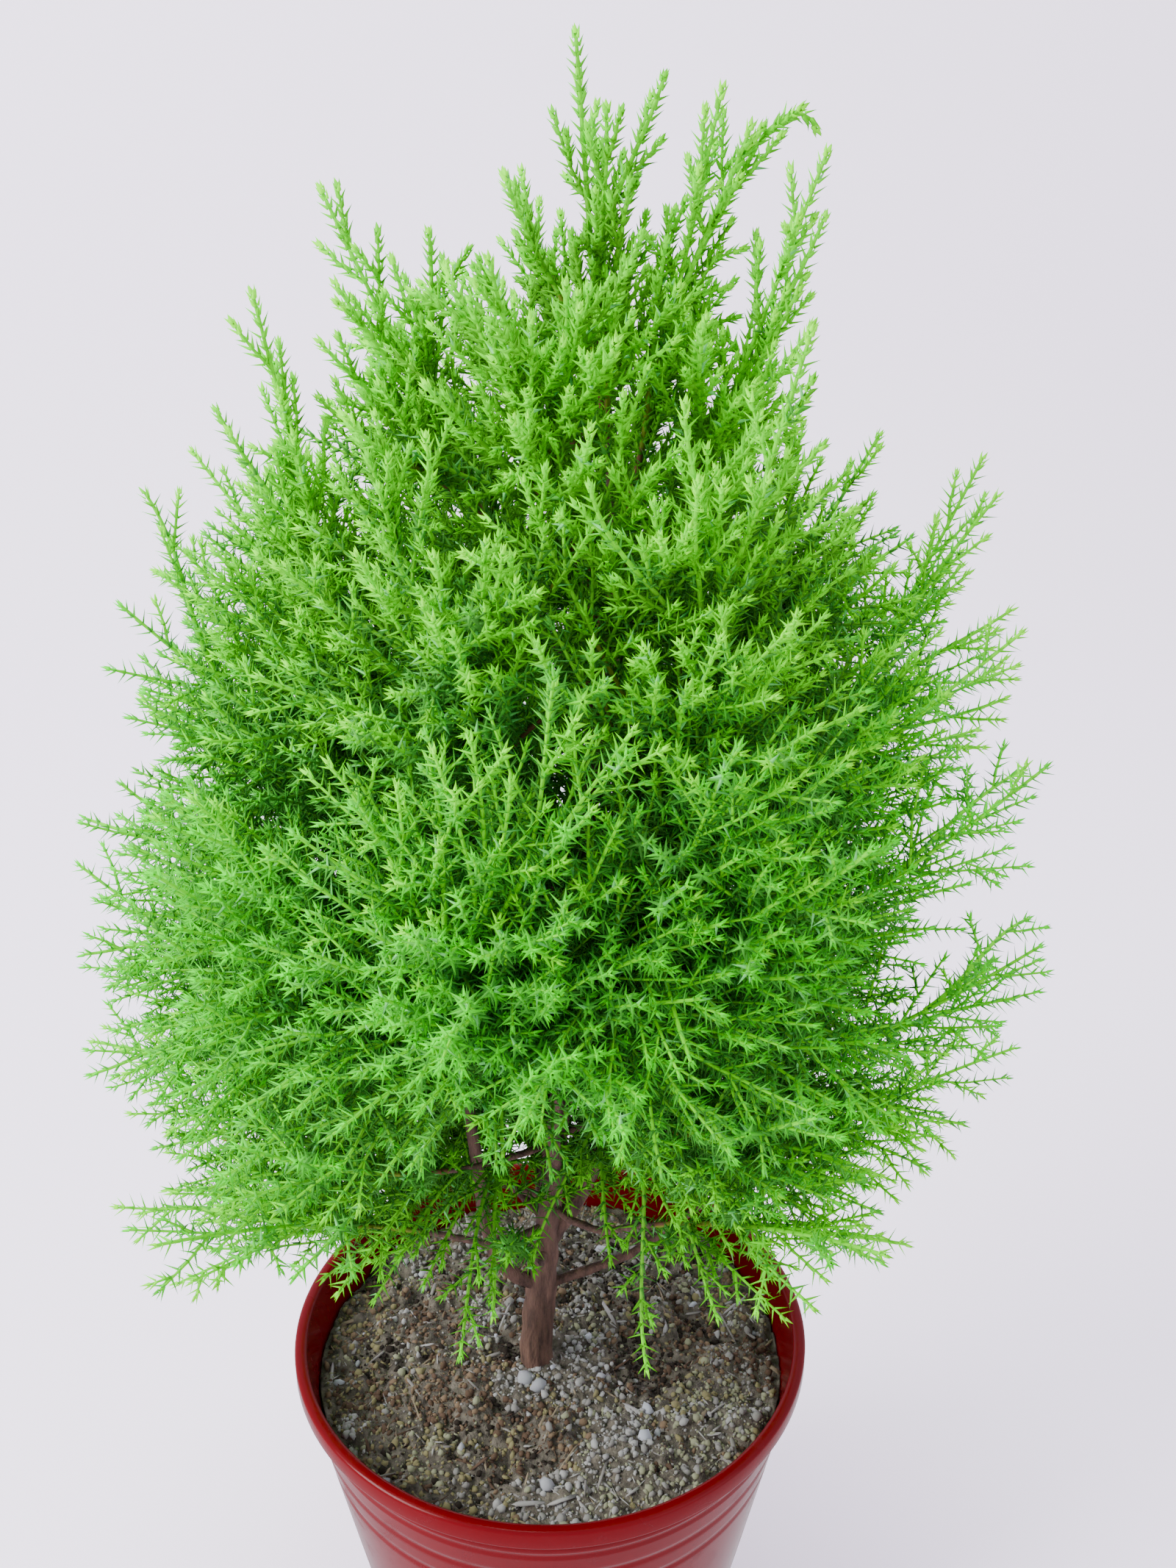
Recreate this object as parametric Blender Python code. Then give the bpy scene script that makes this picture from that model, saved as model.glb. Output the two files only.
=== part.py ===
"""A potted lemon cypress: a small, many-stemmed conifer in a round plastic pot.

The origin is the centre of the pot's flat underside, +Z is up, and the viewer
stands on the -Y side. Sizes below are in millimetres and degrees, and the
helpers turn them into metres. The plant's own sizes are measured from the
middle of the trunk's foot, at soil level; its bearings run anticlockwise from
+X as seen from above, so 270 faces the viewer.
"""
import math
import random
from collections import namedtuple

import bmesh
import bpy
from mathutils import Vector

MM = 0.001
GAP = 0.3 * MM
MERGE = 0.00001

# Pot
POT_HEIGHT = 130.0
RIM_RADIUS = 75.0
LIP_WIDTH = 3.6
LIP_DROP = 6.0
LIP_OVERHANG = 1.4
BASE_RADIUS = 49.0
BASE_CHAMFER = 1.5
WALL = 1.8
FLOOR = 2.6
RING_DEPTHS = (9.5, 13.0, 22.0, 31.0)
RING_CUT = 0.5
HOLE_RADIUS = 4.0
HOLE_CIRCLE = 30.0
HOLE_COUNT = 4
POT_SIDES = 40

# Soil
SOIL_DROP = 13.0
SOIL_BUMP = 0.9
SOIL_RINGS = 5
SEAT_RADIUS = 9.0

# Trunk: the foot's place in the pot, the line that it follows and its radius
FOOT = (-4.7, -3.6)
TRUNK_LINE = ((0, 0.0, 0.0), (25, 1.9, 0.0), (60, 5.0, 1.0), (120, 10.0, 2.0), (180, 15.5, 1.5),
              (235, 20.5, 0.0), (270, 19.0, 0.0), (300, 16.0, 0.0))
TRUNK_RADII = ((0, 6.6), (4, 5.5), (10, 4.7), (35, 4.3), (46, 3.5), (120, 2.7), (200, 1.9), (300, 0.8))
TRUNK_RINGS = 18
TRUNK_SIDES = 12

# Boughs
BOUGH_SIDES = 7
BOUGH_RINGS = 6
BOUGH_SHARE = 0.42
BOUGH_TAPER = 0.62
CUT_CLEARANCE = 0.3

# Foliage masses
MASS_SIDES = 10
MASS_RINGS = (0.0, 0.1, 0.24, 0.42, 0.6, 0.78, 0.91)
MASS_FOOT = 0.5
MASS_TIP = 0.16
LOBE_DEPTH = 0.2
TRUNK_SEAT = 5.0
BACK_TILT = 55.0

# A spray springs from the trunk at the height root and runs out to its tip, on
# the bearing given; reach and tip are the tip's distance from the foot's axis
# and its height. bare is the length of bough that shows before the mass.
Spray = namedtuple("Spray", "name root bearing reach tip bare half_width")
SPRAYS = (
    Spray("skirt_right", 25, 8, 138, 98, 34, 28),
    Spray("skirt_back_right", 60, 48, 120, 98, 32, 32),
    Spray("skirt_back", 30, 92, 122, 95, 30, 32),
    Spray("skirt_back_left", 50, 136, 117, 98, 32, 32),
    Spray("skirt_left", 58, 176, 121, 106, 32, 29),
    Spray("skirt_front_left", 46, 226, 114, 113, 28, 27),
    Spray("skirt_front", 36, 266, 62, 96, 22, 18),
    Spray("skirt_front_right", 52, 316, 113, 108, 28, 28),
    Spray("lower_right", 80, 352, 128, 152, 24, 32),
    Spray("lower_back_right", 99, 28, 127, 162, 24, 34),
    Spray("lower_back", 88, 76, 128, 160, 24, 34),
    Spray("lower_back_left", 96, 118, 120, 158, 24, 34),
    Spray("lower_left", 84, 172, 122, 156, 24, 32),
    Spray("lower_front_left", 76, 238, 107, 146, 24, 32),
    Spray("lower_front_right", 92, 306, 106, 150, 24, 32),
    Spray("middle_right", 124, 346, 122, 205, 0, 32),
    Spray("middle_back_right", 118, 50, 115, 214, 0, 34),
    Spray("middle_back_left", 128, 134, 112, 208, 0, 34),
    Spray("middle_left", 120, 180, 101, 187, 0, 31),
    Spray("middle_front_left", 130, 222, 100, 196, 0, 32),
    Spray("middle_front", 122, 258, 92, 196, 0, 30),
    Spray("middle_front_right", 132, 314, 103, 206, 0, 31),
    Spray("upper_right", 170, 346, 113, 236, 0, 27),
    Spray("upper_back_right", 176, 20, 92, 268, 0, 27),
    Spray("upper_back", 168, 76, 80, 268, 0, 30),
    Spray("upper_back_left", 178, 156, 93, 262, 0, 28),
    Spray("upper_left", 164, 186, 93, 236, 0, 26),
    Spray("upper_front_left", 174, 244, 68, 262, 0, 27),
    Spray("top_right_out", 226, 352, 64, 333, 0, 19),
    Spray("top_right", 256, 355, 42, 345, 0, 15),
    Spray("top_left", 222, 176, 43, 325, 0, 20),
    Spray("top_back", 240, 92, 36, 328, 0, 19),
    Spray("top_front", 232, 262, 36, 314, 0, 19),
)

# A stem forks low, climbs beside the trunk to a point given as height, x, y,
# and carries a tall plume from there to its tip.
Stem = namedtuple("Stem", "name root end tip radius half_width")
STEMS = (
    Stem("left", 14, (118, -19, -11), (306, -54, -22), 2.4, 25),
    Stem("right", 40, (108, 32, 8), (266, 108, 14), 3.1, 28),
    Stem("front", 66, (128, 10, -30), (303, 56, -54), 2.4, 24),
    Stem("back", 70, (122, -2, 32), (300, -14, 58), 2.2, 26),
)
LEADER_HALF_WIDTH = 10.0
LEADER_TIP = (355, 11.7, 0.0)

RED_PLASTIC = (0.56, 0.012, 0.03, 1.0)
POTTING_MIX = (0.19, 0.14, 0.10, 1.0)
BARK = (0.20, 0.10, 0.07, 1.0)
GREEN_SHOOT = (0.16, 0.48, 0.05, 1.0)


def foot_height():
    """Height of the soil's surface above the ground, in millimetres."""
    return POT_HEIGHT - SOIL_DROP


def from_foot(height, x, y):
    """A place measured from the trunk's foot, as metres in the pot's frame."""
    return Vector((FOOT[0] + x, FOOT[1] + y, foot_height() + height)) * MM


def along_bearing(height, bearing, reach):
    turn = math.radians(bearing)
    return from_foot(height, reach * math.cos(turn), reach * math.sin(turn))


def between(table, where):
    """Read a table of (place, value, ...) rows at any place, in straight steps."""
    for low, high in zip(table, table[1:]):
        if where <= high[0]:
            share = max(0.0, (where - low[0]) / (high[0] - low[0]))
            return [a + share * (b - a) for a, b in zip(low[1:], high[1:])]
    return list(table[-1][1:])


def smooth_line(table, where):
    """Read a table of (place, x, y) rows at any place, on a smooth curve."""
    last = len(table) - 1
    step = next((i for i in range(last) if where <= table[i + 1][0]), last - 1)
    before, low, high, after = (table[min(max(step + k, 0), last)] for k in (-1, 0, 1, 2))
    share = (where - low[0]) / (high[0] - low[0])
    weights = (-share + 2 * share ** 2 - share ** 3, 2 - 5 * share ** 2 + 3 * share ** 3,
               share + 4 * share ** 2 - 3 * share ** 3, share ** 3 - share ** 2)
    return [0.5 * sum(w * row[k] for w, row in zip(weights, (before, low, high, after))) for k in (1, 2)]


def trunk_point(height):
    x, y = smooth_line(TRUNK_LINE, height)
    return from_foot(height, x, y)


def trunk_radius(height):
    return between(TRUNK_RADII, height)[0] * MM


def finish_mesh(name, bm, material):
    """Turn a closed bmesh into a named object of one material."""
    bmesh.ops.remove_doubles(bm, verts=bm.verts, dist=MERGE)
    bmesh.ops.recalc_face_normals(bm, faces=bm.faces)
    mesh = bpy.data.meshes.new(name)
    bm.to_mesh(mesh)
    bm.free()
    mesh.materials.append(material)
    mesh.shade_smooth()
    mesh.set_sharp_from_angle(angle=math.radians(35))
    piece = bpy.data.objects.new(name, mesh)
    bpy.context.collection.objects.link(piece)
    return piece


def plain_material(name, color, roughness):
    material = bpy.data.materials.new(name)
    material.use_nodes = True
    surface = material.node_tree.nodes["Principled BSDF"]
    surface.inputs["Base Color"].default_value = color
    surface.inputs["Roughness"].default_value = roughness
    surface.inputs["Metallic"].default_value = 0.0
    return material


def turned(name, outline, material):
    """Spin an outline of (radius, height) in millimetres round Z."""
    bm = bmesh.new()
    verts = [bm.verts.new((radius * MM, 0.0, height * MM)) for radius, height in outline]
    edges = [bm.edges.new(pair) for pair in zip(verts, verts[1:])]
    bmesh.ops.spin(bm, geom=verts + edges, cent=(0, 0, 0), axis=(0, 0, 1), angle=math.tau,
                   steps=POT_SIDES, use_merge=True, use_duplicate=False)
    return finish_mesh(name, bm, material)


def ring_bridge(bm, rings):
    """Join neighbouring rings of equally many vertices with faces."""
    for lower, upper in zip(rings, rings[1:]):
        for k in range(len(lower)):
            after = (k + 1) % len(lower)
            bm.faces.new((lower[k], lower[after], upper[after], upper[k]))


def tube(name, stations, sides, material):
    """A limb with flat ends through stations of (centre, direction, radius)."""
    bm = bmesh.new()
    side = stations[0][1].orthogonal().normalized()
    rings = []
    for centre, direction, radius in stations:
        side = (side - side.project(direction)).normalized()
        other = direction.cross(side)
        rings.append([bm.verts.new(centre + radius * (math.cos(turn) * side + math.sin(turn) * other))
                      for turn in (math.tau * k / sides for k in range(sides))])
    ring_bridge(bm, rings)
    bm.faces.new(rings[0])
    bm.faces.new(rings[-1])
    return finish_mesh(name, bm, material)


def cut_away(piece, cutter):
    """Cut a piece with another object, which then only guides."""
    cut = piece.modifiers.new("cut", "BOOLEAN")
    cut.operation = "DIFFERENCE"
    cut.object = cutter
    cutter.hide_render = True
    cutter.display_type = "WIRE"


def wall_radius(depth):
    """Outer radius of the pot's plain wall, so far below the rim."""
    top = RIM_RADIUS - LIP_OVERHANG
    return top - (top - BASE_RADIUS) * depth / POT_HEIGHT


def pot_outline():
    """Underside, ringed wall, rolled lip and inside of the pot, in that order."""
    half_ring = RING_CUT * 1.4
    outside = [(0.0, 0.0), (BASE_RADIUS - BASE_CHAMFER, 0.0), (wall_radius(POT_HEIGHT - BASE_CHAMFER), BASE_CHAMFER)]
    for depth in reversed(RING_DEPTHS):
        outside += [(wall_radius(depth + half_ring), POT_HEIGHT - depth - half_ring),
                    (wall_radius(depth) - RING_CUT, POT_HEIGHT - depth),
                    (wall_radius(depth - half_ring), POT_HEIGHT - depth + half_ring)]
    outside.append((wall_radius(LIP_DROP), POT_HEIGHT - LIP_DROP))
    lip = [(RIM_RADIUS - 0.3, POT_HEIGHT - LIP_DROP), (RIM_RADIUS, POT_HEIGHT - LIP_DROP + 0.8),
           (RIM_RADIUS, POT_HEIGHT - 1.5), (RIM_RADIUS - 0.6, POT_HEIGHT - 0.4), (RIM_RADIUS - 1.6, POT_HEIGHT),
           (RIM_RADIUS - LIP_WIDTH + 0.8, POT_HEIGHT), (RIM_RADIUS - LIP_WIDTH, POT_HEIGHT - 0.9)]
    inside = [(wall_radius(POT_HEIGHT - FLOOR) - WALL, FLOOR), (0.0, FLOOR)]
    return outside + lip + inside


def soil_limit(height):
    """Radius that the soil fills at a height, just clear of the pot's wall."""
    low = (FLOOR, wall_radius(POT_HEIGHT - FLOOR) - WALL)
    high = (POT_HEIGHT - 0.9, RIM_RADIUS - LIP_WIDTH)
    share = (height - low[0]) / (high[0] - low[0])
    return low[1] + share * (high[1] - low[1]) - 1.3 * GAP / MM


def soil_top(radius, turn, seat_distance):
    """Height of the soil in millimetres: uneven, and flat under the trunk."""
    wave = (math.sin(3 * turn + 0.7) * math.cos(radius / 14.0) + 0.6 * math.sin(5 * turn - radius / 9.0)
            + 0.5 * math.cos(2 * turn + radius / 21.0))
    fade = min(1.0, max(0.0, (seat_distance - SEAT_RADIUS) / SEAT_RADIUS))
    return foot_height() - GAP / MM + SOIL_BUMP * wave * fade


def make_soil(material):
    """The potting mix: rings of its top about the trunk's foot, then its side."""
    bm = bmesh.new()
    edge = soil_limit(foot_height())
    seat_verts = []
    rings = []
    for ring in range(SOIL_RINGS + 1):
        share = ring / SOIL_RINGS
        row = []
        for k in range(POT_SIDES):
            turn = math.tau * k / POT_SIDES
            seat_x = FOOT[0] + SEAT_RADIUS * math.cos(turn)
            seat_y = FOOT[1] + SEAT_RADIUS * math.sin(turn)
            x = seat_x + share * (edge * math.cos(turn) - seat_x)
            y = seat_y + share * (edge * math.sin(turn) - seat_y)
            height = soil_top(math.hypot(x, y), math.atan2(y, x), math.hypot(x - FOOT[0], y - FOOT[1]))
            if ring == SOIL_RINGS:
                scale = soil_limit(height) / edge
                x, y = x * scale, y * scale
            row.append(bm.verts.new((x * MM, y * MM, height * MM)))
        rings.append(row)
        if ring == 0:
            seat_verts = row
    floor = FLOOR + GAP / MM
    radius = soil_limit(floor)
    rings.append([bm.verts.new((radius * math.cos(math.tau * k / POT_SIDES) * MM,
                                radius * math.sin(math.tau * k / POT_SIDES) * MM, floor * MM))
                  for k in range(POT_SIDES)])
    ring_bridge(bm, rings)
    bm.faces.new(seat_verts)
    bm.faces.new(rings[-1])
    return finish_mesh("soil", bm, material)


def make_pot(material):
    """The turned pot with its drainage holes cut through the floor."""
    pot = turned("pot", pot_outline(), material)
    bm = bmesh.new()
    for k in range(HOLE_COUNT):
        turn = math.tau * (k + 0.5) / HOLE_COUNT
        drill = bmesh.ops.create_cone(bm, cap_ends=True, segments=12, radius1=HOLE_RADIUS * MM,
                                      radius2=HOLE_RADIUS * MM, depth=4 * FLOOR * MM)
        shift = Vector((math.cos(turn), math.sin(turn), 0.0)) * HOLE_CIRCLE * MM
        bmesh.ops.translate(bm, verts=drill["verts"], vec=shift)
    cut_away(pot, finish_mesh("hole_guide", bm, material))
    return pot


def trunk_stations(growth=0.0):
    """Stations up the trunk, closer together in its flare."""
    stations = []
    top = TRUNK_LINE[-1][0]
    for k in range(TRUNK_RINGS):
        height = top * (k / (TRUNK_RINGS - 1)) ** 1.5
        ahead, behind = trunk_point(min(height + 1, top)), trunk_point(max(height - 1, 0))
        direction = Vector((0, 0, 1)) if k == 0 else (ahead - behind).normalized()
        stations.append((trunk_point(height), direction, trunk_radius(height) + growth * MM))
    return stations


def bezier(points, share):
    """Place and direction on a cubic curve with four control points."""
    a, b, c, d = points
    rest = 1.0 - share
    place = rest ** 3 * a + 3 * rest ** 2 * share * b + 3 * rest * share ** 2 * c + share ** 3 * d
    slope = rest ** 2 * (b - a) + 2 * rest * share * (c - b) + share ** 2 * (d - c)
    return place, slope.normalized()


def bough_stations(root, leave, end, arrive, radius):
    """A tapering limb that leaves the trunk one way and meets its mass another."""
    pull = (end - root).length / 3
    controls = (root, root + pull * leave, end - pull * arrive, end - 0.5 * GAP * arrive)
    stations = []
    for k in range(BOUGH_RINGS):
        share = k / (BOUGH_RINGS - 1)
        place, direction = bezier(controls, share)
        if k == BOUGH_RINGS - 1:
            direction = arrive
        stations.append((place, direction, radius * (1 - (1 - BOUGH_TAPER) * share)))
    return stations


def spray_layout(spray):
    """Where a spray's bough starts, where its mass starts and where it ends."""
    root = trunk_point(spray.root)
    tip = along_bearing(spray.tip, spray.bearing, spray.reach)
    heading = tip - root
    if spray.bare:
        start = root + heading.normalized() * spray.bare * MM - Vector((0, 0, 2.5 * MM))
    else:
        flat = Vector((heading.x, heading.y, 0.0)).normalized()
        start = root + flat * (trunk_radius(spray.root) + GAP + TRUNK_SEAT * MM)
    return root, start, tip


def closest_points(a, b, c, d):
    """Closest points of the stretches a-b and c-d."""
    u, v, w = b - a, d - c, a - c
    uu, uv, vv, uw, vw = u.dot(u), u.dot(v), v.dot(v), u.dot(w), v.dot(w)
    spread = uu * vv - uv * uv
    s = min(1.0, max(0.0, (uv * vw - vv * uw) / spread)) if spread > 1e-18 else 0.0
    t = (uv * s + vw) / vv
    if t < 0.0 or t > 1.0:
        t = min(1.0, max(0.0, t))
        s = min(1.0, max(0.0, (uv * t - uw) / uu))
    return a + s * u, c + t * v


def cell_walls(name, axes, limbs, own_limb):
    """Planes that keep a mass clear of every other mass and every limb.

    Between two masses the plane stands halfway across the shortest line from
    one middle line to the other. Before a limb it stands just off its bark.
    Each plane is (outward normal, farthest that a point may be along it).
    """
    start, tip = axes[name]
    walls = []
    for other, (first, last) in axes.items():
        if other != name:
            mine, theirs = closest_points(start, tip, first, last)
            normal = (theirs - mine).normalized()
            walls.append((normal, normal.dot((mine + theirs) / 2) - GAP / 2))
    for limb, stations in limbs.items():
        if limb != own_limb:
            for (first, _, radius), (last, _, next_radius) in zip(stations, stations[1:]):
                mine, theirs = closest_points(start, tip, first, last)
                normal = (theirs - mine).normalized()
                walls.append((normal, normal.dot(theirs) - max(radius, next_radius) - 1.2 * GAP))
    if own_limb:
        back = (start - tip).normalized()
        walls.append((back, back.dot(start) - GAP / 2))
    return walls


def free_length(place, ray, walls):
    """How far a ray can run from a place before it meets a wall of the cell."""
    return min([(limit - normal.dot(place)) / normal.dot(ray) for normal, limit in walls
                if normal.dot(ray) > 1e-6], default=1.0)


def fullness(share):
    """Width of a plume along its length: a blunt foot, a belly and a thin tip."""
    swell = math.sin(math.pi * min(1.0, 0.12 + 0.9 * share)) ** 0.75
    return max(swell, MASS_FOOT * (1 - share), MASS_TIP)


def make_mass(name, start, tip, half_width, walls, on_bough, material):
    """One uneven plume: rings about its middle line, each ray kept in its cell."""
    rng = random.Random(name)
    phases = [rng.uniform(0, math.tau) for _ in range(4)]
    direction = (tip - start).normalized()
    side = direction.orthogonal().normalized()
    other = direction.cross(side)
    bm = bmesh.new()

    def spoke(place, ray, wanted):
        return bm.verts.new(place + ray * min(wanted, free_length(place, ray, walls)))

    def lobed(turn, share):
        return 1 + LOBE_DEPTH * (math.cos(3 * turn + phases[0] + 2 * share) * 0.6
                                 + math.cos(2 * turn + phases[1] - 4 * share) * 0.5
                                 + math.cos(5 * turn + phases[2] + 9 * share + phases[3]) * 0.4)

    turns = [math.tau * k / MASS_SIDES for k in range(MASS_SIDES)]
    rays = [math.cos(turn) * side + math.sin(turn) * other for turn in turns]
    rings = []
    if on_bough:
        foot = bm.verts.new(start + direction * GAP / 2)
    else:
        foot = spoke(start, -direction, half_width * MM * 0.7)
        tilt = math.radians(BACK_TILT)
        rings.append([spoke(start, math.cos(tilt) * ray - math.sin(tilt) * direction, half_width * MM * 0.7)
                      for ray in rays])
    for share in MASS_RINGS:
        place = start.lerp(tip, share)
        if share == 0.0 and on_bough:
            place = start + direction * GAP / 2
        rings.append([spoke(place, ray, half_width * MM * fullness(share) * lobed(turn, share))
                      for turn, ray in zip(turns, rays)])
    end = bm.verts.new(tip)
    ring_bridge(bm, rings)
    for k in range(MASS_SIDES):
        after = (k + 1) % MASS_SIDES
        bm.faces.new((rings[0][after], rings[0][k], foot))
        bm.faces.new((rings[-1][k], rings[-1][after], end))
    return finish_mesh(name, bm, material)


def limb_layout():
    """Stations of the trunk and of every bough and stem, and each mass's line."""
    limbs = {"trunk": trunk_stations()}
    axes = {}
    widths = {}
    for spray in SPRAYS:
        root, start, tip = spray_layout(spray)
        axes["foliage_" + spray.name] = (start, tip)
        widths["foliage_" + spray.name] = spray.half_width
        if spray.bare:
            arrive = (tip - start).normalized()
            leave = (arrive + Vector((0, 0, 0.5))).normalized()
            radius = BOUGH_SHARE * trunk_radius(spray.root)
            limbs["bough_" + spray.name] = bough_stations(root, leave, start, arrive, radius)
    for stem in STEMS:
        root, start, tip = trunk_point(stem.root), from_foot(*stem.end), from_foot(*stem.tip)
        axes["foliage_plume_" + stem.name] = (start, tip)
        widths["foliage_plume_" + stem.name] = stem.half_width
        arrive = (tip - start).normalized()
        flat = Vector((start.x - root.x, start.y - root.y, 0.0)).normalized()
        leave = (flat * 0.75 + Vector((0, 0, 1))).normalized()
        limbs["bough_plume_" + stem.name] = bough_stations(root, leave, start, arrive, stem.radius * MM)
    top, direction, _ = limbs["trunk"][-1]
    tip = from_foot(*LEADER_TIP)
    axes["foliage_leader"] = (top + (tip - top).normalized() * GAP * 1.5, tip)
    widths["foliage_leader"] = LEADER_HALF_WIDTH
    return limbs, axes, widths


def build():
    for old in list(bpy.data.objects):
        bpy.data.objects.remove(old, do_unlink=True)
    plastic = plain_material("red_plastic", RED_PLASTIC, 0.22)
    mix = plain_material("potting_mix", POTTING_MIX, 0.95)
    bark = plain_material("bark", BARK, 0.85)
    green = plain_material("green_foliage", GREEN_SHOOT, 0.6)
    make_pot(plastic)
    make_soil(mix)
    limbs, axes, widths = limb_layout()
    tube("trunk", limbs["trunk"], TRUNK_SIDES, bark)
    guide = tube("trunk_guide", trunk_stations(CUT_CLEARANCE), TRUNK_SIDES, bark)
    for name, stations in limbs.items():
        if name != "trunk":
            cut_away(tube(name, stations, BOUGH_SIDES, bark), guide)
    for name, (start, tip) in axes.items():
        own_limb = "trunk" if name == "foliage_leader" else name.replace("foliage_", "bough_")
        on_bough = own_limb in limbs
        walls = cell_walls(name, axes, limbs, own_limb if on_bough else None)
        make_mass(name, start, tip, widths[name], walls, on_bough, green)


build()
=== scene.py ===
"""The looks of a potted lemon cypress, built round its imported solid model.

Every surface is worked out with numpy as whole arrays. The shoots grow by one
branching rule from the limbs and the foliage masses of the frame, and each
mass is replaced by the needles and twigs that grow in it.
"""
import math

import bmesh
import bpy
import numpy as np
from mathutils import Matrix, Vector


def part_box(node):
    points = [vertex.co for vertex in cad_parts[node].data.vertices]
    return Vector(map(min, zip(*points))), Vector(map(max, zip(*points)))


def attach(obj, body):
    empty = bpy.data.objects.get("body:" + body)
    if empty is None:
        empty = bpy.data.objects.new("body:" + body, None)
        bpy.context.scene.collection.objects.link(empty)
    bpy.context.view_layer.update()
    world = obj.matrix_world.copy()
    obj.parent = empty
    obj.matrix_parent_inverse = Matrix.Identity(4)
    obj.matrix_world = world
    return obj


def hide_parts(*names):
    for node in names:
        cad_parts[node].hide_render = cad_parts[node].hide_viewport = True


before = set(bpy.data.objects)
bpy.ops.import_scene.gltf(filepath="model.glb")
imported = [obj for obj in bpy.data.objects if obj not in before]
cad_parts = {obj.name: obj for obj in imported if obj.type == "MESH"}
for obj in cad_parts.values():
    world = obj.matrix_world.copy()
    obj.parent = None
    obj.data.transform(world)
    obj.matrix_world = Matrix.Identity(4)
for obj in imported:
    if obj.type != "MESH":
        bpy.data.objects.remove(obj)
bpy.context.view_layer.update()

bl_info = {
    "name": "Potted Cypress Finish",
    "version": (1, 0, 0),
    "blender": (4, 5, 0),
    "location": "View3D > Sidebar > Cypress",
    "description": "Makes the pot, soil, bark, twigs and needles of a small potted cypress",
    "category": "Object",
}

MM = 0.001
UP = np.array([0.0, 0.0, 1.0])
FLATTEN = np.array([1.0, 1.0, 0.0])
GOLDEN_TURN = math.radians(137.5)
# Chance in side shoots: shift as a share of their spacing, spread of the turn in radians, range of the
# length, and spread of the bend
SHIFT_SPREAD, TURN_SPREAD, LENGTH_RANGE, BEND_SPREAD = 0.4, 0.35, (0.72, 1.12), 0.1
TIERS = ("skirt", "lower", "middle", "upper", "plume", "top")
PIECE_LIMIT = 190000
NOISE_TABLE = 4096
NOISE_MIXERS = np.array([73856093, 19349663, 83492791])

RIM_RADIUS, _, RIM_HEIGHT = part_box("pot")[1]
# The middle of the trunk's foot, which stands at the level of the soil
FOOT = np.array([-4.7 * MM, -3.6 * MM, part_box("trunk")[0][2]])


def vertices_of(node):
    """The corners of a CAD node, as an array of places in metres."""
    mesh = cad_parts[node].data
    flat = np.empty(len(mesh.vertices) * 3, np.float32)
    mesh.vertices.foreach_get("co", flat)
    return flat.reshape(-1, 3).astype(float)


def edges_of(node):
    """The edges of a CAD node, as pairs of corner numbers."""
    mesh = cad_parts[node].data
    flat = np.empty(len(mesh.edges) * 2, np.int32)
    mesh.edges.foreach_get("vertices", flat)
    return flat.reshape(-1, 2)


def unit(vectors):
    """Each vector divided by its own length."""
    return vectors / np.maximum(np.linalg.norm(vectors, axis=-1, keepdims=True), 1e-12)


def ease(share):
    """A smooth step: three times the square less twice the cube."""
    share = np.clip(share, 0.0, 1.0)
    return share * share * (3.0 - 2.0 * share)


def noise(places, scale, seed):
    """Smooth value noise from -1 to 1.

    Space is cut into cubes of the given size. Each cube corner draws a number
    from a random table, and a place blends its eight corners by smooth steps.
    """
    table = np.random.default_rng(seed).uniform(-1.0, 1.0, NOISE_TABLE)
    cells = places / scale
    low = np.floor(cells).astype(np.int64)
    share = ease(cells - low)
    total = 0.0
    for corner in np.ndindex(2, 2, 2):
        pick = np.bitwise_xor.reduce((low + np.array(corner)) * NOISE_MIXERS, axis=-1) % NOISE_TABLE
        weight = np.prod(np.where(np.array(corner) == 1, share, 1.0 - share), axis=-1)
        total = total + weight * table[pick]
    return total


def quads(low, high, axis):
    """Faces between two rows of corners: each side's four corners, and the last joined to the first."""
    faces = np.stack([low, np.roll(low, -1, axis=axis), np.roll(high, -1, axis=axis), high], axis=-1)
    return faces.reshape(-1, 4)


def make_mesh(name, points, faces, materials, picks=None, smooth=True):
    """A mesh object from whole arrays of corners and of equally sided faces."""
    faces = np.asarray(faces, np.int32)
    count, sides = faces.shape
    mesh = bpy.data.meshes.new(name)
    mesh.vertices.add(len(points))
    mesh.vertices.foreach_set("co", np.asarray(points, np.float32).ravel())
    mesh.loops.add(count * sides)
    mesh.loops.foreach_set("vertex_index", faces.ravel())
    mesh.polygons.add(count)
    mesh.polygons.foreach_set("loop_start", np.arange(count, dtype=np.int32) * sides)
    for material in materials:
        mesh.materials.append(material)
    if picks is not None:
        mesh.polygons.foreach_set("material_index", np.asarray(picks, np.int32))
    mesh.update(calc_edges=True)
    mesh.validate()
    if smooth:
        mesh.shade_smooth()
    piece = bpy.data.objects.new(name, mesh)
    bpy.context.scene.collection.objects.link(piece)
    return piece


def settle(piece, slot, *nodes):
    """Let a piece ride on the one body and hide the nodes it stands for; its slot is not used."""
    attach(piece, "root")
    if nodes:
        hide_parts(*nodes)


# Shader groups and materials

def new_group(name, inputs, outputs):
    """An empty shader group with named sockets and its two end nodes."""
    group = bpy.data.node_groups.new(name, "ShaderNodeTree")
    for label, kind, default in inputs:
        socket = group.interface.new_socket(name=label, in_out="INPUT", socket_type=kind)
        socket.default_value = default
    for label, kind in outputs:
        group.interface.new_socket(name=label, in_out="OUTPUT", socket_type=kind)
    return group, group.nodes.new("NodeGroupInput"), group.nodes.new("NodeGroupOutput")


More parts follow.
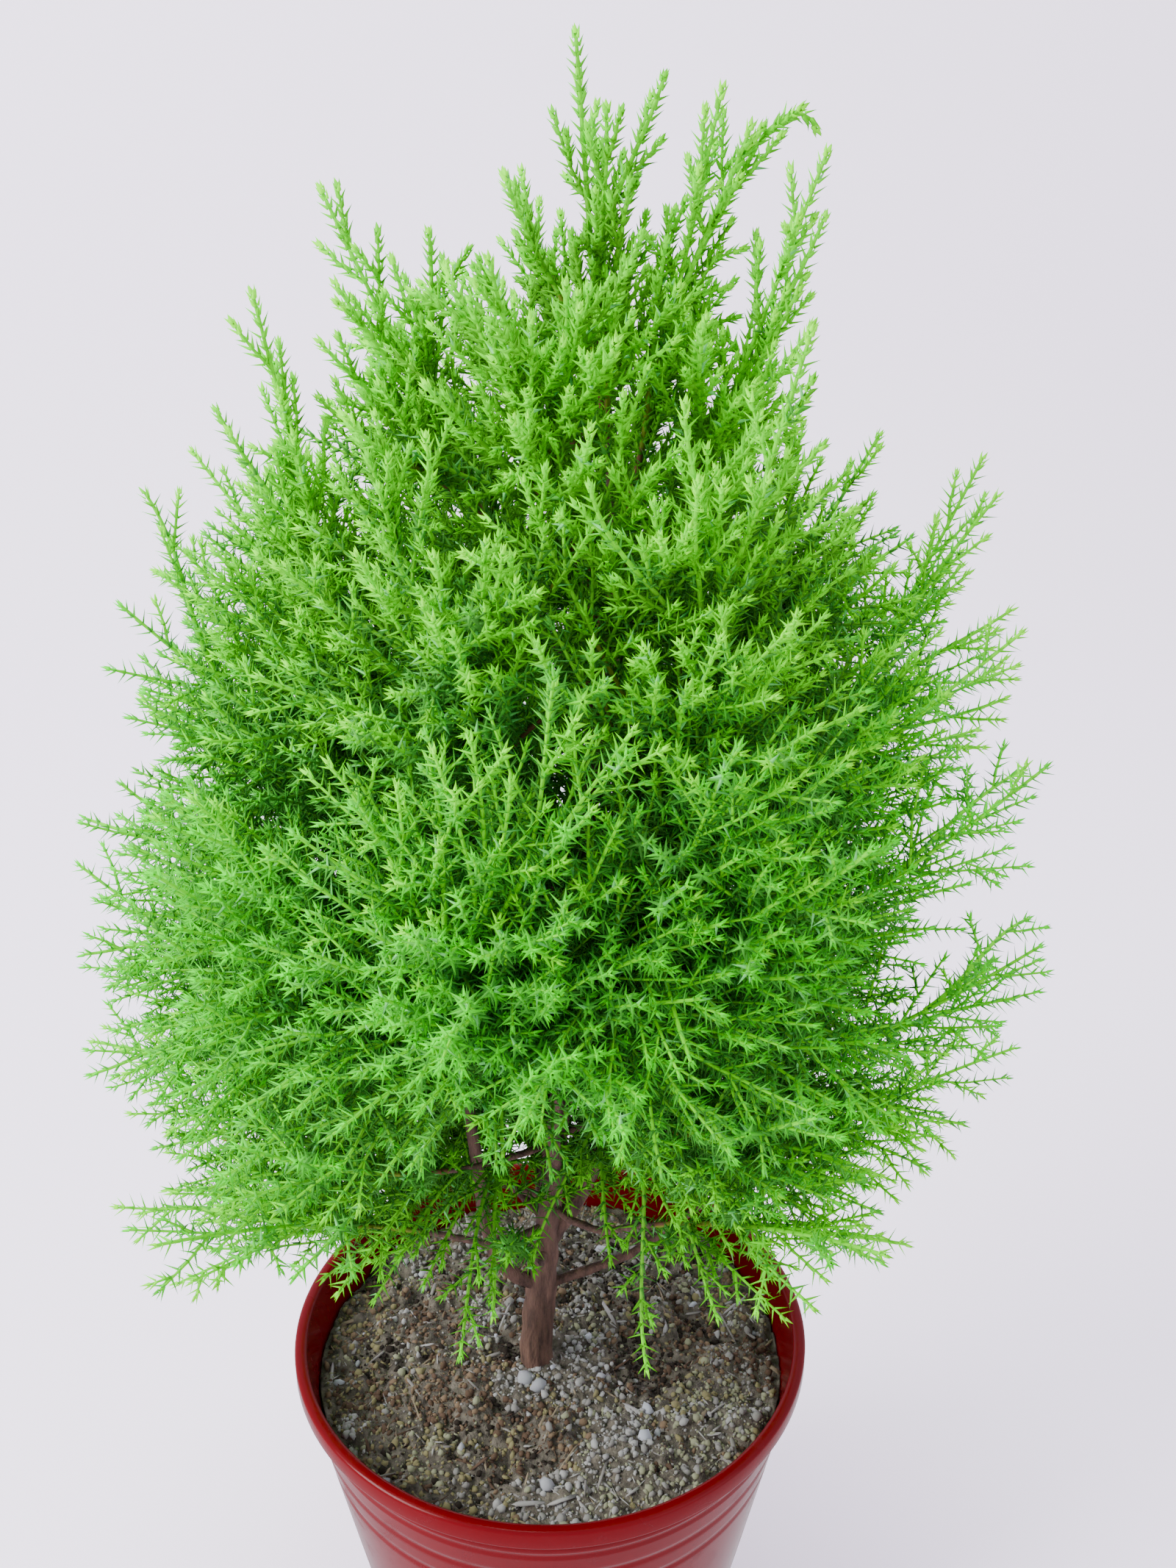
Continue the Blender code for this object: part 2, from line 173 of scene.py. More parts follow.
def add_node(tree, kind, feeds, **settings):
    """A shader node with its settings made, and each socket in feeds linked or given its value."""
    node = tree.nodes.new("ShaderNode" + kind)
    for label, value in settings.items():
        setattr(node, label, value)
    for label, feed in feeds.items():
        if isinstance(feed, bpy.types.NodeSocket):
            tree.links.new(feed, node.inputs[label])
        else:
            node.inputs[label].default_value = feed
    return node


def mottle_group():
    """Two colours mixed by noise, and a fine grain height."""
    group, entry, leave = new_group(
        "Mottle",
        (("Dark", "NodeSocketColor", (0.1, 0.1, 0.1, 1)), ("Light", "NodeSocketColor", (0.8, 0.8, 0.8, 1)),
         ("Scale", "NodeSocketFloat", 100.0), ("Stretch", "NodeSocketFloat", 1.0),
         ("Contrast", "NodeSocketFloat", 1.0)),
        (("Color", "NodeSocketColor"), ("Grain", "NodeSocketFloat")))
    given = entry.outputs
    place = add_node(group, "TexCoord", {}).outputs["Object"]
    stretch = add_node(group, "CombineXYZ", {"X": 1.0, "Y": 1.0, "Z": given["Stretch"]})
    scaled = add_node(group, "VectorMath", {0: place, 1: stretch.outputs["Vector"]}, operation="MULTIPLY")
    broad = add_node(group, "TexNoise", {"Vector": scaled.outputs["Vector"], "Scale": given["Scale"],
                                         "Detail": 5.0, "Roughness": 0.62})
    finer = add_node(group, "Math", {0: given["Scale"], 1: 5.0}, operation="MULTIPLY")
    fine = add_node(group, "TexNoise", {"Vector": scaled.outputs["Vector"], "Scale": finer.outputs["Value"],
                                        "Detail": 3.0})
    centred = add_node(group, "Math", {0: broad.outputs["Fac"], 1: 0.5}, operation="SUBTRACT")
    spread = add_node(group, "Math", {0: centred.outputs["Value"], 1: given["Contrast"], 2: 0.5},
                      operation="MULTIPLY_ADD", use_clamp=True)
    mix = add_node(group, "Mix", {"Factor": spread.outputs["Value"], "A": given["Dark"],
                                  "B": given["Light"]}, data_type="RGBA")
    group.links.new(mix.outputs["Result"], leave.inputs["Color"])
    group.links.new(fine.outputs["Fac"], leave.inputs["Grain"])
    return group


def scuff_group():
    """Thin crossing scuffs and dust: a roughness that rises where they lie."""
    group, entry, leave = new_group(
        "Scuffs",
        (("Scale", "NodeSocketFloat", 60.0), ("Smooth", "NodeSocketFloat", 0.15),
         ("Rough", "NodeSocketFloat", 0.5)),
        (("Roughness", "NodeSocketFloat"), ("Height", "NodeSocketFloat")))
    given = entry.outputs
    place = add_node(group, "TexCoord", {}).outputs["Object"]
    wave = add_node(group, "TexNoise", {"Vector": place, "Scale": given["Scale"], "Detail": 8.0,
                                        "Roughness": 0.7, "Distortion": 0.8})
    thin = add_node(group, "MapRange", {"Value": wave.outputs["Fac"], "From Min": 0.52, "From Max": 0.72})
    rough = add_node(group, "MapRange", {"Value": thin.outputs["Result"], "To Min": given["Smooth"],
                                         "To Max": given["Rough"]})
    group.links.new(rough.outputs["Result"], leave.inputs["Roughness"])
    group.links.new(wave.outputs["Fac"], leave.inputs["Height"])
    return group


def place_group(material, name, build, **values):
    """Put a shared group, which is built once, into a material with its own values."""
    group = bpy.data.node_groups.get(name) or build()
    return add_node(material.node_tree, "Group", values, node_tree=group)


def base_material(name, color, roughness):
    """A Principled material of one plain colour, and its shader node."""
    material = bpy.data.materials.new(name)
    material.use_nodes = True
    surface = material.node_tree.nodes["Principled BSDF"]
    surface.inputs["Base Color"].default_value = (*color, 1.0)
    surface.inputs["Roughness"].default_value = roughness
    return material, surface


def plain(name, color, roughness=0.55, specular=0.35):
    """A plain colour that is dealt out by spray, clod or chip."""
    material, surface = base_material(name, color, roughness)
    surface.inputs["Specular IOR Level"].default_value = specular
    return material


def bump(material, surface, height, strength, distance):
    """Feed a height through a Bump node to the surface's normal."""
    node = add_node(material.node_tree, "Bump",
                    {"Strength": strength, "Distance": distance, "Height": height})
    material.node_tree.links.new(node.outputs["Normal"], surface.inputs["Normal"])


def mottled(name, dark, light, scale, stretch, contrast, roughness, strength, distance):
    """A rough, noisy surface of two colours with a fine grain."""
    material, surface = base_material(name, light, roughness)
    node = place_group(material, "Mottle", mottle_group, Dark=(*dark, 1.0), Light=(*light, 1.0),
                       Scale=scale, Stretch=stretch, Contrast=contrast)
    material.node_tree.links.new(node.outputs["Color"], surface.inputs["Base Color"])
    bump(material, surface, node.outputs["Grain"], strength, distance)
    return material


def pot_plastic(color):
    """Glossy moulded plastic with a clear skin, faint flow marks and scuffs."""
    material, surface = base_material("red_plastic_finish", color, 0.2)
    links = material.node_tree.links
    scuffs = place_group(material, "Scuffs", scuff_group, Scale=55.0, Smooth=0.16, Rough=0.42)
    dark = tuple(0.86 * share for share in color)
    flow = place_group(material, "Mottle", mottle_group, Dark=(*dark, 1.0), Light=(*color, 1.0),
                       Scale=26.0, Stretch=3.0, Contrast=2.0)
    links.new(flow.outputs["Color"], surface.inputs["Base Color"])
    links.new(scuffs.outputs["Roughness"], surface.inputs["Roughness"])
    surface.inputs["Coat Weight"].default_value = 0.06
    surface.inputs["Coat Roughness"].default_value = 0.06
    surface.inputs["Specular IOR Level"].default_value = 0.10
    bump(material, surface, scuffs.outputs["Height"], 0.06, 0.4 * MM)
    return material


# Curves that carry the shoots

def resample(path, count):
    """A path's places, moved to equal steps along its length."""
    steps = np.concatenate([[0.0], np.cumsum(np.linalg.norm(np.diff(path, axis=0), axis=1))])
    wanted = np.linspace(0.0, steps[-1], count)
    return np.stack([np.interp(wanted, steps, path[:, k]) for k in range(3)], axis=1)


def lengths_of(curves):
    """The length of each curve: the sum of its steps."""
    return np.linalg.norm(np.diff(curves, axis=1), axis=2).sum(axis=1)


def read_curves(curves, rows, shares):
    """Places and directions at a share of the way along the chosen curves."""
    steps = curves.shape[1] - 1
    low = np.clip((shares * steps).astype(int), 0, steps - 1)
    part = (shares * steps - low)[:, None]
    first, second = curves[rows, low], curves[rows, low + 1]
    return first + part * (second - first), unit(second - first)


def across(directions):
    """One vector at right angles to each direction."""
    helper = np.where(np.abs(directions[..., 2:3]) < 0.8, UP, np.array([1.0, 0.0, 0.0]))
    return unit(np.cross(directions, helper))


def turned_side(directions, turns):
    """The vector at right angles to each direction, turned about it."""
    side = across(directions)
    other = np.cross(directions, side)
    return np.cos(turns)[..., None] * side + np.sin(turns)[..., None] * other


def spread_along(corners):
    """How far each corner lies along the direction in which they spread most, taken upwards."""
    offsets = corners - corners.mean(axis=0)
    axis = np.linalg.svd(offsets, full_matrices=False)[2][0]
    return offsets @ (axis if axis[2] > 0 else -axis)


def centre_line(node, count):
    """The middle line and the radii of a limb, from plane slices of its solid.

    Each slice is square to the solid's longest direction. Its middle is the
    mean of the places where edges cross it, and its radius their mean distance.
    """
    corners = vertices_of(node)
    edges = edges_of(node)
    along = spread_along(corners)
    first, second = along[edges[:, 0]], along[edges[:, 1]]
    line, radii = [], []
    for level in np.linspace(along.min(), along.max(), count + 2)[1:-1]:
        cross = (first - level) * (second - level) < 0
        share = ((level - first[cross]) / (second[cross] - first[cross]))[:, None]
        ends = corners[edges[cross]]
        ring = ends[:, 0] + share * (ends[:, 1] - ends[:, 0])
        line.append(ring.mean(axis=0))
        radii.append(np.linalg.norm(ring - ring.mean(axis=0), axis=1).mean())
    return np.array(line), np.array(radii)


def mass_line(node, trunk_line):
    """Foot and tip of a foliage mass: the ends along its longest direction.

    The tip is the end further from the trunk, and the foot is the mean of the
    eight corners nearest to the other end.
    """
    corners = vertices_of(node)
    along = spread_along(corners)
    ends = corners[[along.argmin(), along.argmax()]]
    far = np.linalg.norm(ends[:, None] - trunk_line[None], axis=2).min(axis=1)
    foot_side = np.argsort(np.linalg.norm(corners - ends[far.argmin()], axis=1))[:8]
    return corners[foot_side].mean(axis=0), ends[far.argmax()]


def sweep(foot, tip, sag, count):
    """A curve with one bend: a parabola whose middle is moved by the sag."""
    share = np.linspace(0.0, 1.0, count)[:, None]
    return foot + share * (tip - foot) + 4.0 * share * (1.0 - share) * sag


def places_along(lengths, first, spacing, last):
    """Equally spaced places on every curve: its number, order and distance."""
    counts = np.maximum(((lengths - first - last) / spacing).astype(int) + 1, 0)
    counts = np.where(lengths > first + last, counts, 0)
    rows = np.repeat(np.arange(len(lengths)), counts)
    order = np.arange(counts.sum()) - np.repeat(np.cumsum(counts) - counts, counts)
    return rows, order, first + order * spacing


def branch(parents, rule, rng):
    """Side shoots of every parent, by one rule.

    They stand every so far apart, each turned from the last by the golden
    angle, and leave at the rule's angle. A shoot's length is a share of the
    way that is left to the parent's tip, and it bends towards the light.
    """
    lengths = lengths_of(parents)
    rows, order, along = places_along(lengths, rule["first"], rule["spacing"], rule["last"])
    shift = rng.uniform(-SHIFT_SPREAD, SHIFT_SPREAD, len(rows)) * rule["spacing"]
    along = np.clip(along + shift, 0.0, lengths[rows])
    base, forward = read_curves(parents, rows, along / lengths[rows])
    start = rng.uniform(0.0, math.tau, len(parents))
    turns = start[rows] + order * GOLDEN_TURN + rng.normal(0.0, TURN_SPREAD, len(rows))
    side = unit(turned_side(forward, turns) * np.array([1.0, 1.0, rule["flat"]]))
    open_by = np.radians(rule["angle"] + rng.normal(0.0, rule["angle_spread"], len(rows)))[:, None]
    leave = np.cos(open_by) * forward + np.sin(open_by) * side
    left = lengths[rows] - along
    reach = np.minimum(rule["share"] * left + rule["least"], rule["most"])
    reach = reach * rng.uniform(*LENGTH_RANGE, len(rows))
    share = np.linspace(0.0, 1.0, rule["count"])[None, :, None]
    pull = rule["rise"] * UP + rule["follow"] * forward
    pull = pull + rng.normal(0.0, BEND_SPREAD, (len(rows), 3))
    way = share * leave[:, None] + 0.5 * share ** 2 * pull[:, None]
    return base[:, None] + reach[:, None, None] * way, rows


# Surfaces round curves

# Needles: turn from whorl to whorl, and in the head of a shoot the least distance of whorls, the lean in
# degrees and the share of the full length. The needled share of a shoot is counted from its tip
WHORL_TURN = math.radians(60.0)
HEAD_SPACING = 0.6 * MM
HEAD_LEAN = 16.0
HEAD_LENGTH = 0.55
NEEDLED_SHARE = 0.97
# Chance in needles: spread of the turn in radians and of the lean in degrees, and range of the length
ROUND_SPREAD, LEAN_SPREAD, NEEDLE_RANGE = 0.12, 5.0, (0.88, 1.08)


def taper(curves, first, last):
    """A radius for every place of every curve, running evenly from first to last."""
    share = np.linspace(0.0, 1.0, curves.shape[1])
    first, last = np.broadcast_to(first, len(curves)), np.broadcast_to(last, len(curves))
    return first[:, None] + (last - first)[:, None] * share


def tubes(curves, radius, sides, relief=None, flare=1.0):
    """Rings of points round each curve.

    A ring's points are the place plus the radius times the cosine of a turn
    along one cross direction and its sine along the other. The flare is a
    factor of the radius for each point. Faces join each ring to the next.
    """
    count, steps = curves.shape[:2]
    forward = unit(np.gradient(curves, axis=1))
    side = across(forward)
    other = np.cross(forward, side)
    turns = np.arange(sides) * math.tau / sides
    ring = np.cos(turns)[:, None] * side[:, :, None] + np.sin(turns)[:, None] * other[:, :, None]
    points = curves[:, :, None] + (radius[:, :, None] * flare)[..., None] * ring
    if relief is not None:
        points = points + relief(points, radius)[..., None] * ring
    grid = np.arange(count * steps * sides).reshape(count, steps, sides)
    return points.reshape(-1, 3), quads(grid[:, :-1], grid[:, 1:], axis=2)


def whorls(lengths, spacing, crowd):
    """The whorls of every shoot: its number, the whorl's order and its distance from the tip.

    Whorl k stands spacing times k from the tip, less a spread times one minus
    exp(-k / crowd), so the first few crowd into a head. None stands on the last
    bit of a shoot's foot.
    """
    spread = crowd * (spacing - HEAD_SPACING)
    counts = np.maximum(((lengths + spread) / spacing).astype(int) + 1, 2)
    rows = np.repeat(np.arange(len(lengths)), counts)
    order = np.arange(counts.sum()) - np.repeat(np.cumsum(counts) - counts, counts)
    to_tip = spacing[rows] * order - spread[rows] * (1.0 - np.exp(-order / crowd[rows]))
    keep = to_tip < NEEDLED_SHARE * lengths[rows]
    return rows[keep], order[keep], to_tip[keep]


def needle_points(curves, twig, look, rng):
    """Whorls of three awl-shaped needles along each shoot.

    A needle is a thin spike with three long faces: a flat upper face and a
    keel below. It leans out from the shoot by an angle that closes towards the
    tip, and the needles of the head are short.
    Returns corners, faces, and for each needle its shoot and distance to the tip.
    """
    lengths = lengths_of(curves)
    rows, order, to_tip = whorls(lengths, look["spacing"], look["crowd"])
    place, forward = read_curves(curves, rows, 1.0 - to_tip / lengths[rows])
    turn = order * WHORL_TURN + rng.uniform(0, math.tau, len(curves))[rows]
    rows, to_tip = np.repeat(rows, 3), np.repeat(to_tip, 3)
    forward = np.repeat(forward, 3, axis=0)
    turn = np.repeat(turn, 3) + np.tile(np.arange(3) * math.tau / 3, len(turn))
    out = turned_side(forward, turn + rng.normal(0.0, ROUND_SPREAD, len(turn)))
    shape = {label: values[rows] for label, values in look.items()}
    closing = np.clip(to_tip / shape["close"], 0.0, 1.0) ** 0.7
    lean = HEAD_LEAN + (shape["lean"] - HEAD_LEAN) * closing
    lean = np.radians(lean + rng.normal(0.0, LEAN_SPREAD, len(turn)))[:, None]
    point_way = np.cos(lean) * forward + np.sin(lean) * out
    upper = np.sin(lean) * forward - np.cos(lean) * out
    side = np.cross(forward, out)
    grown = np.clip(to_tip / (1.2 * shape["close"]), 0.0, 1.0)
    size = shape["length"] * (HEAD_LENGTH + (1.0 - HEAD_LENGTH) * grown)
    size = (size * rng.uniform(*NEEDLE_RANGE, len(turn)))[:, None]
    half = 0.5 * shape["width"][:, None]
    foot = np.repeat(place, 3, axis=0) + 0.6 * twig[rows][:, None] * out
    corners = np.stack([foot + half * side, foot - half * side, foot - 0.8 * half * upper,
                        foot + size * point_way], axis=1)
    faces = np.arange(len(turn))[:, None, None] * 4 + np.array([[0, 1, 3], [1, 2, 3], [2, 0, 3]])
    return corners.reshape(-1, 3), faces.reshape(-1, 3), rows, to_tip


# Settings that a user would change

class CypressNeedles(bpy.types.PropertyGroup):
    length: bpy.props.FloatProperty(
        name="Needle length", description="Length of a needle of the middle whorl",
        default=4.1 * MM, unit="LENGTH", precision=5)
    width: bpy.props.FloatProperty(
        name="Needle width", description="Width of a needle at its foot",
        default=0.84 * MM, unit="LENGTH", precision=5)
    spacing: bpy.props.FloatProperty(
        name="Whorl spacing", description="Distance between whorls of needles",
        default=2.9 * MM, unit="LENGTH", precision=5)
    lean: bpy.props.FloatProperty(
        name="Needle lean", description="Degrees that a needle stands off its shoot", default=62.0)
    seed: bpy.props.IntProperty(name="Seed", description="Start of the random draws", default=11)
    tip_color: bpy.props.FloatVectorProperty(
        name="Tip colour", description="Green of the growing tips",
        subtype="COLOR", default=(0.22, 0.93, 0.002))


class CypressPot(bpy.types.PropertyGroup):
    color: bpy.props.FloatVectorProperty(
        name="Pot colour", description="Colour of the plastic",
        subtype="COLOR", default=(0.128, 0.0003, 0.003))
    base_radius: bpy.props.FloatProperty(
        name="Base radius", description="Radius of the flat underside",
        default=49.0 * MM, unit="LENGTH")
    wall: bpy.props.FloatProperty(
        name="Wall", description="Thickness of the pot's wall", default=1.8 * MM, unit="LENGTH")
    ring_cut: bpy.props.FloatProperty(
        name="Ring depth", description="Depth of the moulded rings",
        default=0.5 * MM, unit="LENGTH", precision=5)


class CypressSoil(bpy.types.PropertyGroup):
    clods: bpy.props.IntProperty(name="Clods", description="Number of loose crumbs of soil", default=9400)
    lumps: bpy.props.IntProperty(name="Pale lumps", description="Number of pale mineral lumps", default=44)
    chips: bpy.props.IntProperty(
        name="Chips", description="Number of bark chips and bits of twig", default=760)
    drop: bpy.props.FloatProperty(
        name="Soil drop", description="Depth of the soil below the rim", default=13.0 * MM, unit="LENGTH")


class CypressStage(bpy.types.PropertyGroup):
    camera_place: bpy.props.FloatVectorProperty(
        name="Camera", description="Place of the camera", subtype="XYZ", unit="LENGTH",
        default=(9.6 * MM, -347.2 * MM, 454.3 * MM))
    camera_dip: bpy.props.FloatProperty(
        name="Camera dip", description="Degrees that the camera looks down", default=23.54)
    camera_roll: bpy.props.FloatProperty(
        name="Camera roll", description="Degrees that the camera is turned", default=-0.25)
    lens: bpy.props.FloatProperty(name="Lens", description="Focal length in millimetres", default=34.62)


# Pot

# The moulded rings: depth below the rim, half width, and share of the full cut
RINGS = ((9.5 * MM, 1.1 * MM, 1.0), (13.0 * MM, 1.1 * MM, 1.0), (22.0 * MM, 1.8 * MM, 0.8),
         (31.0 * MM, 1.8 * MM, 0.8))
POT_SIDES = 160
HOLES, HOLE_CIRCLE, HOLE_RADIUS, HOLE_SIDES = 4, 30.0 * MM, 4.0 * MM, 32


def arc(middle, half, first, last, count):
    """Part of an ellipse: its middle plus half its width by cosine and half its height by sine."""
    turn = np.radians(np.linspace(first, last, count))
    return np.array(middle) + np.array(half) * np.stack([np.cos(turn), np.sin(turn)], axis=1)


def pot_outline(rim, base, wall, cut):
    """Outline of the pot as radius and height, from the middle of the underside.

    The wall's radius falls evenly with depth. A ring is a cosine dip in it. The
    lip's edge is a row of arcs, and the inside follows the wall at its thickness.
    """
    height = RIM_HEIGHT
    top = rim - 1.4 * MM
    depths = np.linspace(height - 1.5 * MM, 6.0 * MM, 150)
    radius = top - (top - base) * depths / height
    for ring, width, share in RINGS:
        near = np.clip(np.abs(depths - ring) / width, 0.0, 1.0)
        radius = radius - share * cut * 0.5 * (1.0 + np.cos(math.pi * near))
    outside = np.stack([radius, height - depths], axis=1)
    chamfer, hem_round = 1.5 * MM, 0.8 * MM
    lip_half, lip_rise = 1.8 * MM, 1.2 * MM
    foot = arc((base - chamfer, chamfer), (chamfer, chamfer), -90.0, 0.0, 5)
    hem = arc((rim - hem_round, height - 5.2 * MM), (hem_round, hem_round), -90.0, 0.0, 5)
    crown = arc((rim - lip_half, height - lip_rise), (lip_half, lip_rise), 0.0, 180.0, 13)
    floor = 2.6 * MM
    inner_depths = np.linspace(3.0 * MM, height - floor, 24)
    inner_radius = np.interp(inner_depths, (0.9 * MM, height - floor),
                             (rim - 3.6 * MM, top - (top - base) * (height - floor) / height - wall))
    inside = np.stack([inner_radius, height - inner_depths], axis=1)
    under = np.array([[0.0, 0.0], [0.5 * base, 0.0]])
    over = np.array([[0.5 * base, floor], [0.0, floor]])
    return np.concatenate([under, foot, outside, hem, crown, inside, over])


def spin(outline, sides):
    """Turn an outline of radius and height round Z: radius times cosine and sine."""
    turns = np.arange(sides) * math.tau / sides
    points = np.stack([outline[:, None, 0] * np.cos(turns), outline[:, None, 0] * np.sin(turns),
                       np.repeat(outline[:, 1:2], sides, axis=1)], axis=-1)
    grid = np.arange(len(outline) * sides).reshape(len(outline), sides)
    return points.reshape(-1, 3), quads(grid[:-1], grid[1:], axis=1)


def close_poles(piece):
    """Merge the doubled points at the middle and make every face point out."""
    bm = bmesh.new()
    bm.from_mesh(piece.data)
    bmesh.ops.remove_doubles(bm, verts=bm.verts, dist=0.01 * MM)
    bmesh.ops.dissolve_degenerate(bm, edges=bm.edges, dist=0.005 * MM)
    bmesh.ops.recalc_face_normals(bm, faces=bm.faces)
    bm.to_mesh(piece.data)
    bm.free()


def drill_holes(piece):
    """Cut round drainage holes through the floor and keep the cut mesh."""
    bm = bmesh.new()
    for k in range(HOLES):
        turn = math.tau * (k + 0.5) / HOLES
        drill = bmesh.ops.create_cone(bm, cap_ends=True, segments=HOLE_SIDES, radius1=HOLE_RADIUS,
                                      radius2=HOLE_RADIUS, depth=12.0 * MM)
        place = Vector((HOLE_CIRCLE * math.cos(turn), HOLE_CIRCLE * math.sin(turn), 0.0))
        bmesh.ops.translate(bm, verts=drill["verts"], vec=place)
    mesh = bpy.data.meshes.new("drill")
    bm.to_mesh(mesh)
    bm.free()
    drill = bpy.data.objects.new("drill", mesh)
    bpy.context.scene.collection.objects.link(drill)
    cut = piece.modifiers.new("holes", "BOOLEAN")
    cut.operation = "DIFFERENCE"
    cut.object = drill
    bpy.context.view_layer.update()
    evaluated = piece.evaluated_get(bpy.context.evaluated_depsgraph_get())
    finished = bpy.data.meshes.new_from_object(evaluated)
    piece.modifiers.clear()
    piece.data = finished
    bpy.data.objects.remove(drill, do_unlink=True)
    bpy.data.meshes.remove(mesh)


class CYPRESS_OT_pot(bpy.types.Operator):
    """Make the glossy red pot with its rolled lip and moulded rings"""
    bl_idname = "cypress.pot"
    bl_label = "Make Pot"

    def execute(self, context):
        look = context.scene.cypress_pot
        outline = pot_outline(RIM_RADIUS, look.base_radius, look.wall, look.ring_cut)
        points, faces = spin(outline, POT_SIDES)
        pot = make_mesh("pot_shell", points, faces, [pot_plastic(tuple(look.color))])
        close_poles(pot)
        drill_holes(pot)
        pot.data.shade_smooth()
        pot.data.set_sharp_from_angle(angle=math.radians(40))
        settle(pot, "red_plastic", "pot")
        return {"FINISHED"}


# Soil

# Kinds of crumb, pale lump and chip, each with its colour
CRUMBS = (("crumb_dark", (0.022, 0.017, 0.013)), ("crumb_brown", (0.088, 0.056, 0.037)),
          ("crumb_clay", (0.165, 0.115, 0.072)), ("crumb_olive", (0.200, 0.180, 0.090)),
          ("crumb_grey", (0.22, 0.215, 0.20)), ("crumb_moss", (0.24, 0.25, 0.16)),
          ("crumb_pale", (0.31, 0.31, 0.30)))
PALES = (("lump_grey", (0.30, 0.31, 0.33)), ("lump_white", (0.42, 0.44, 0.49)))
CHIPS = (("chip_brown", (0.08, 0.05, 0.034)), ("chip_straw", (0.22, 0.18, 0.12)),
         ("chip_grey", (0.20, 0.19, 0.175)), ("chip_pale", (0.29, 0.285, 0.27)))
# Patches of the soil: place from the pot's middle and radius in millimetres, how far it rises, and
# the two kinds of crumb that it is made of, counted in CRUMBS
PATCHES = np.array((
    (-61, 13, 13, 1.2, 3, 2), (-57, -22, 12, -1.0, 1, 3), (-39, 13, 11, 1.0, 1, 2),
    (-26, -17, 13, 1.6, 1, 2), (1, -30, 9, 0.8, 1, 2), (41, 48, 18, 0.6, 1, 0), (60, -2, 12, -0.6, 1, 4),
    (-34, -38, 13, 0.2, 3, 5), (-24, -50, 12, 0.0, 3, 4), (46, -16, 13, 0.2, 5, 3),
    (36, -42, 14, 0.4, 5, 4), (20, -37, 9, 0.8, 4, 6), (50, -28, 10, 0.0, 5, 4), (6, -5, 11, 0.4, 4, 6),
    (-11, -14, 8, 0.8, 6, 4), (-26, 48, 18, 0.5, 4, 1), (14, 38, 14, -1.0, 0, 4), (29, -7, 10, -1.6, 0, 1),
    (-48, 1, 8, -1.6, 0, 3), (0, -52, 10, 0.4, 4, 6), (-14, 14, 9, -0.6, 1, 4), (-12, -36, 8, -0.8, 3, 1),
    (60, 24, 14, 0.0, 2, 3), (-2, 62, 12, 0.0, 4, 2)))
# The larger pale lumps: place from the pot's middle and radius in millimetres
LUMPS = np.array((
    (-7, -11, 3.6), (-3, -14, 2.6), (-24, -37, 2.0), (-20, -35, 1.7), (0, -49, 2.5), (11, 6, 1.5),
    (28, -22, 1.8), (27, -33, 2.4), (31, -30, 1.8), (-62, -12, 1.8), (-22, 60, 2.6), (16, 44, 2.6),
    (-42, 33, 1.9), (-10, 20, 1.6), (44, 20, 1.7), (62, 10, 1.6)))
# Noise in the soil's relief: height and size in millimetres, and seed. That of the crumbs is folded at zero
SWELLS = ((1.2, 22.0, 5), (1.3, 10.0, 6))
FOLDS = ((2.2, 4.6, 7), (1.3, 1.9, 8))
CLUMPS = 60
MEAN_RELIEF = 1.9 * MM
BED_RINGS, BED_SIDES = 110, 360


def patch_weights(places):
    """How much each patch holds at each place.

    It is exp of minus the square of distance over radius, the place being
    shifted by noise so that the patches' edges bend.
    """
    shift = np.stack([noise(places, 7.0 * MM, seed) for seed in (51, 52)], axis=-1) * 4.0 * MM
    away = np.linalg.norm((places[..., :2] + shift)[..., None, :] - PATCHES[:, :2] * MM, axis=-1)
    return np.exp(-(away / (PATCHES[:, 2] * MM)) ** 2)


def soil_height(x, y, level):
    """Height of the soil: swells, patches, folded noise, round clumps and a mound at the trunk."""
    places = np.stack([x, y, np.zeros_like(x)], axis=-1)
    rng = np.random.default_rng(61)
    centres = rng.uniform(-1.0, 1.0, (CLUMPS, 2)) * 0.8 * RIM_RADIUS
    radii = rng.uniform(2.5, 6.0, CLUMPS) * MM
    away = np.linalg.norm(places[..., None, :2] - centres, axis=-1)
    clumps = 0.5 * np.sqrt(np.maximum(radii ** 2 - away ** 2, 0.0)).max(axis=-1)
    swell = sum(high * MM * noise(places, size * MM, seed) for high, size, seed in SWELLS)
    crumb = sum(high * MM * np.abs(noise(places, size * MM, seed)) for high, size, seed in FOLDS)
    patches = MM * patch_weights(places) @ PATCHES[:, 3]
    mound = 1.2 * MM * np.exp(-((x - FOOT[0]) ** 2 + (y - FOOT[1]) ** 2) / (9.0 * MM) ** 2)
    return level - MEAN_RELIEF + swell + crumb + clumps + patches + mound


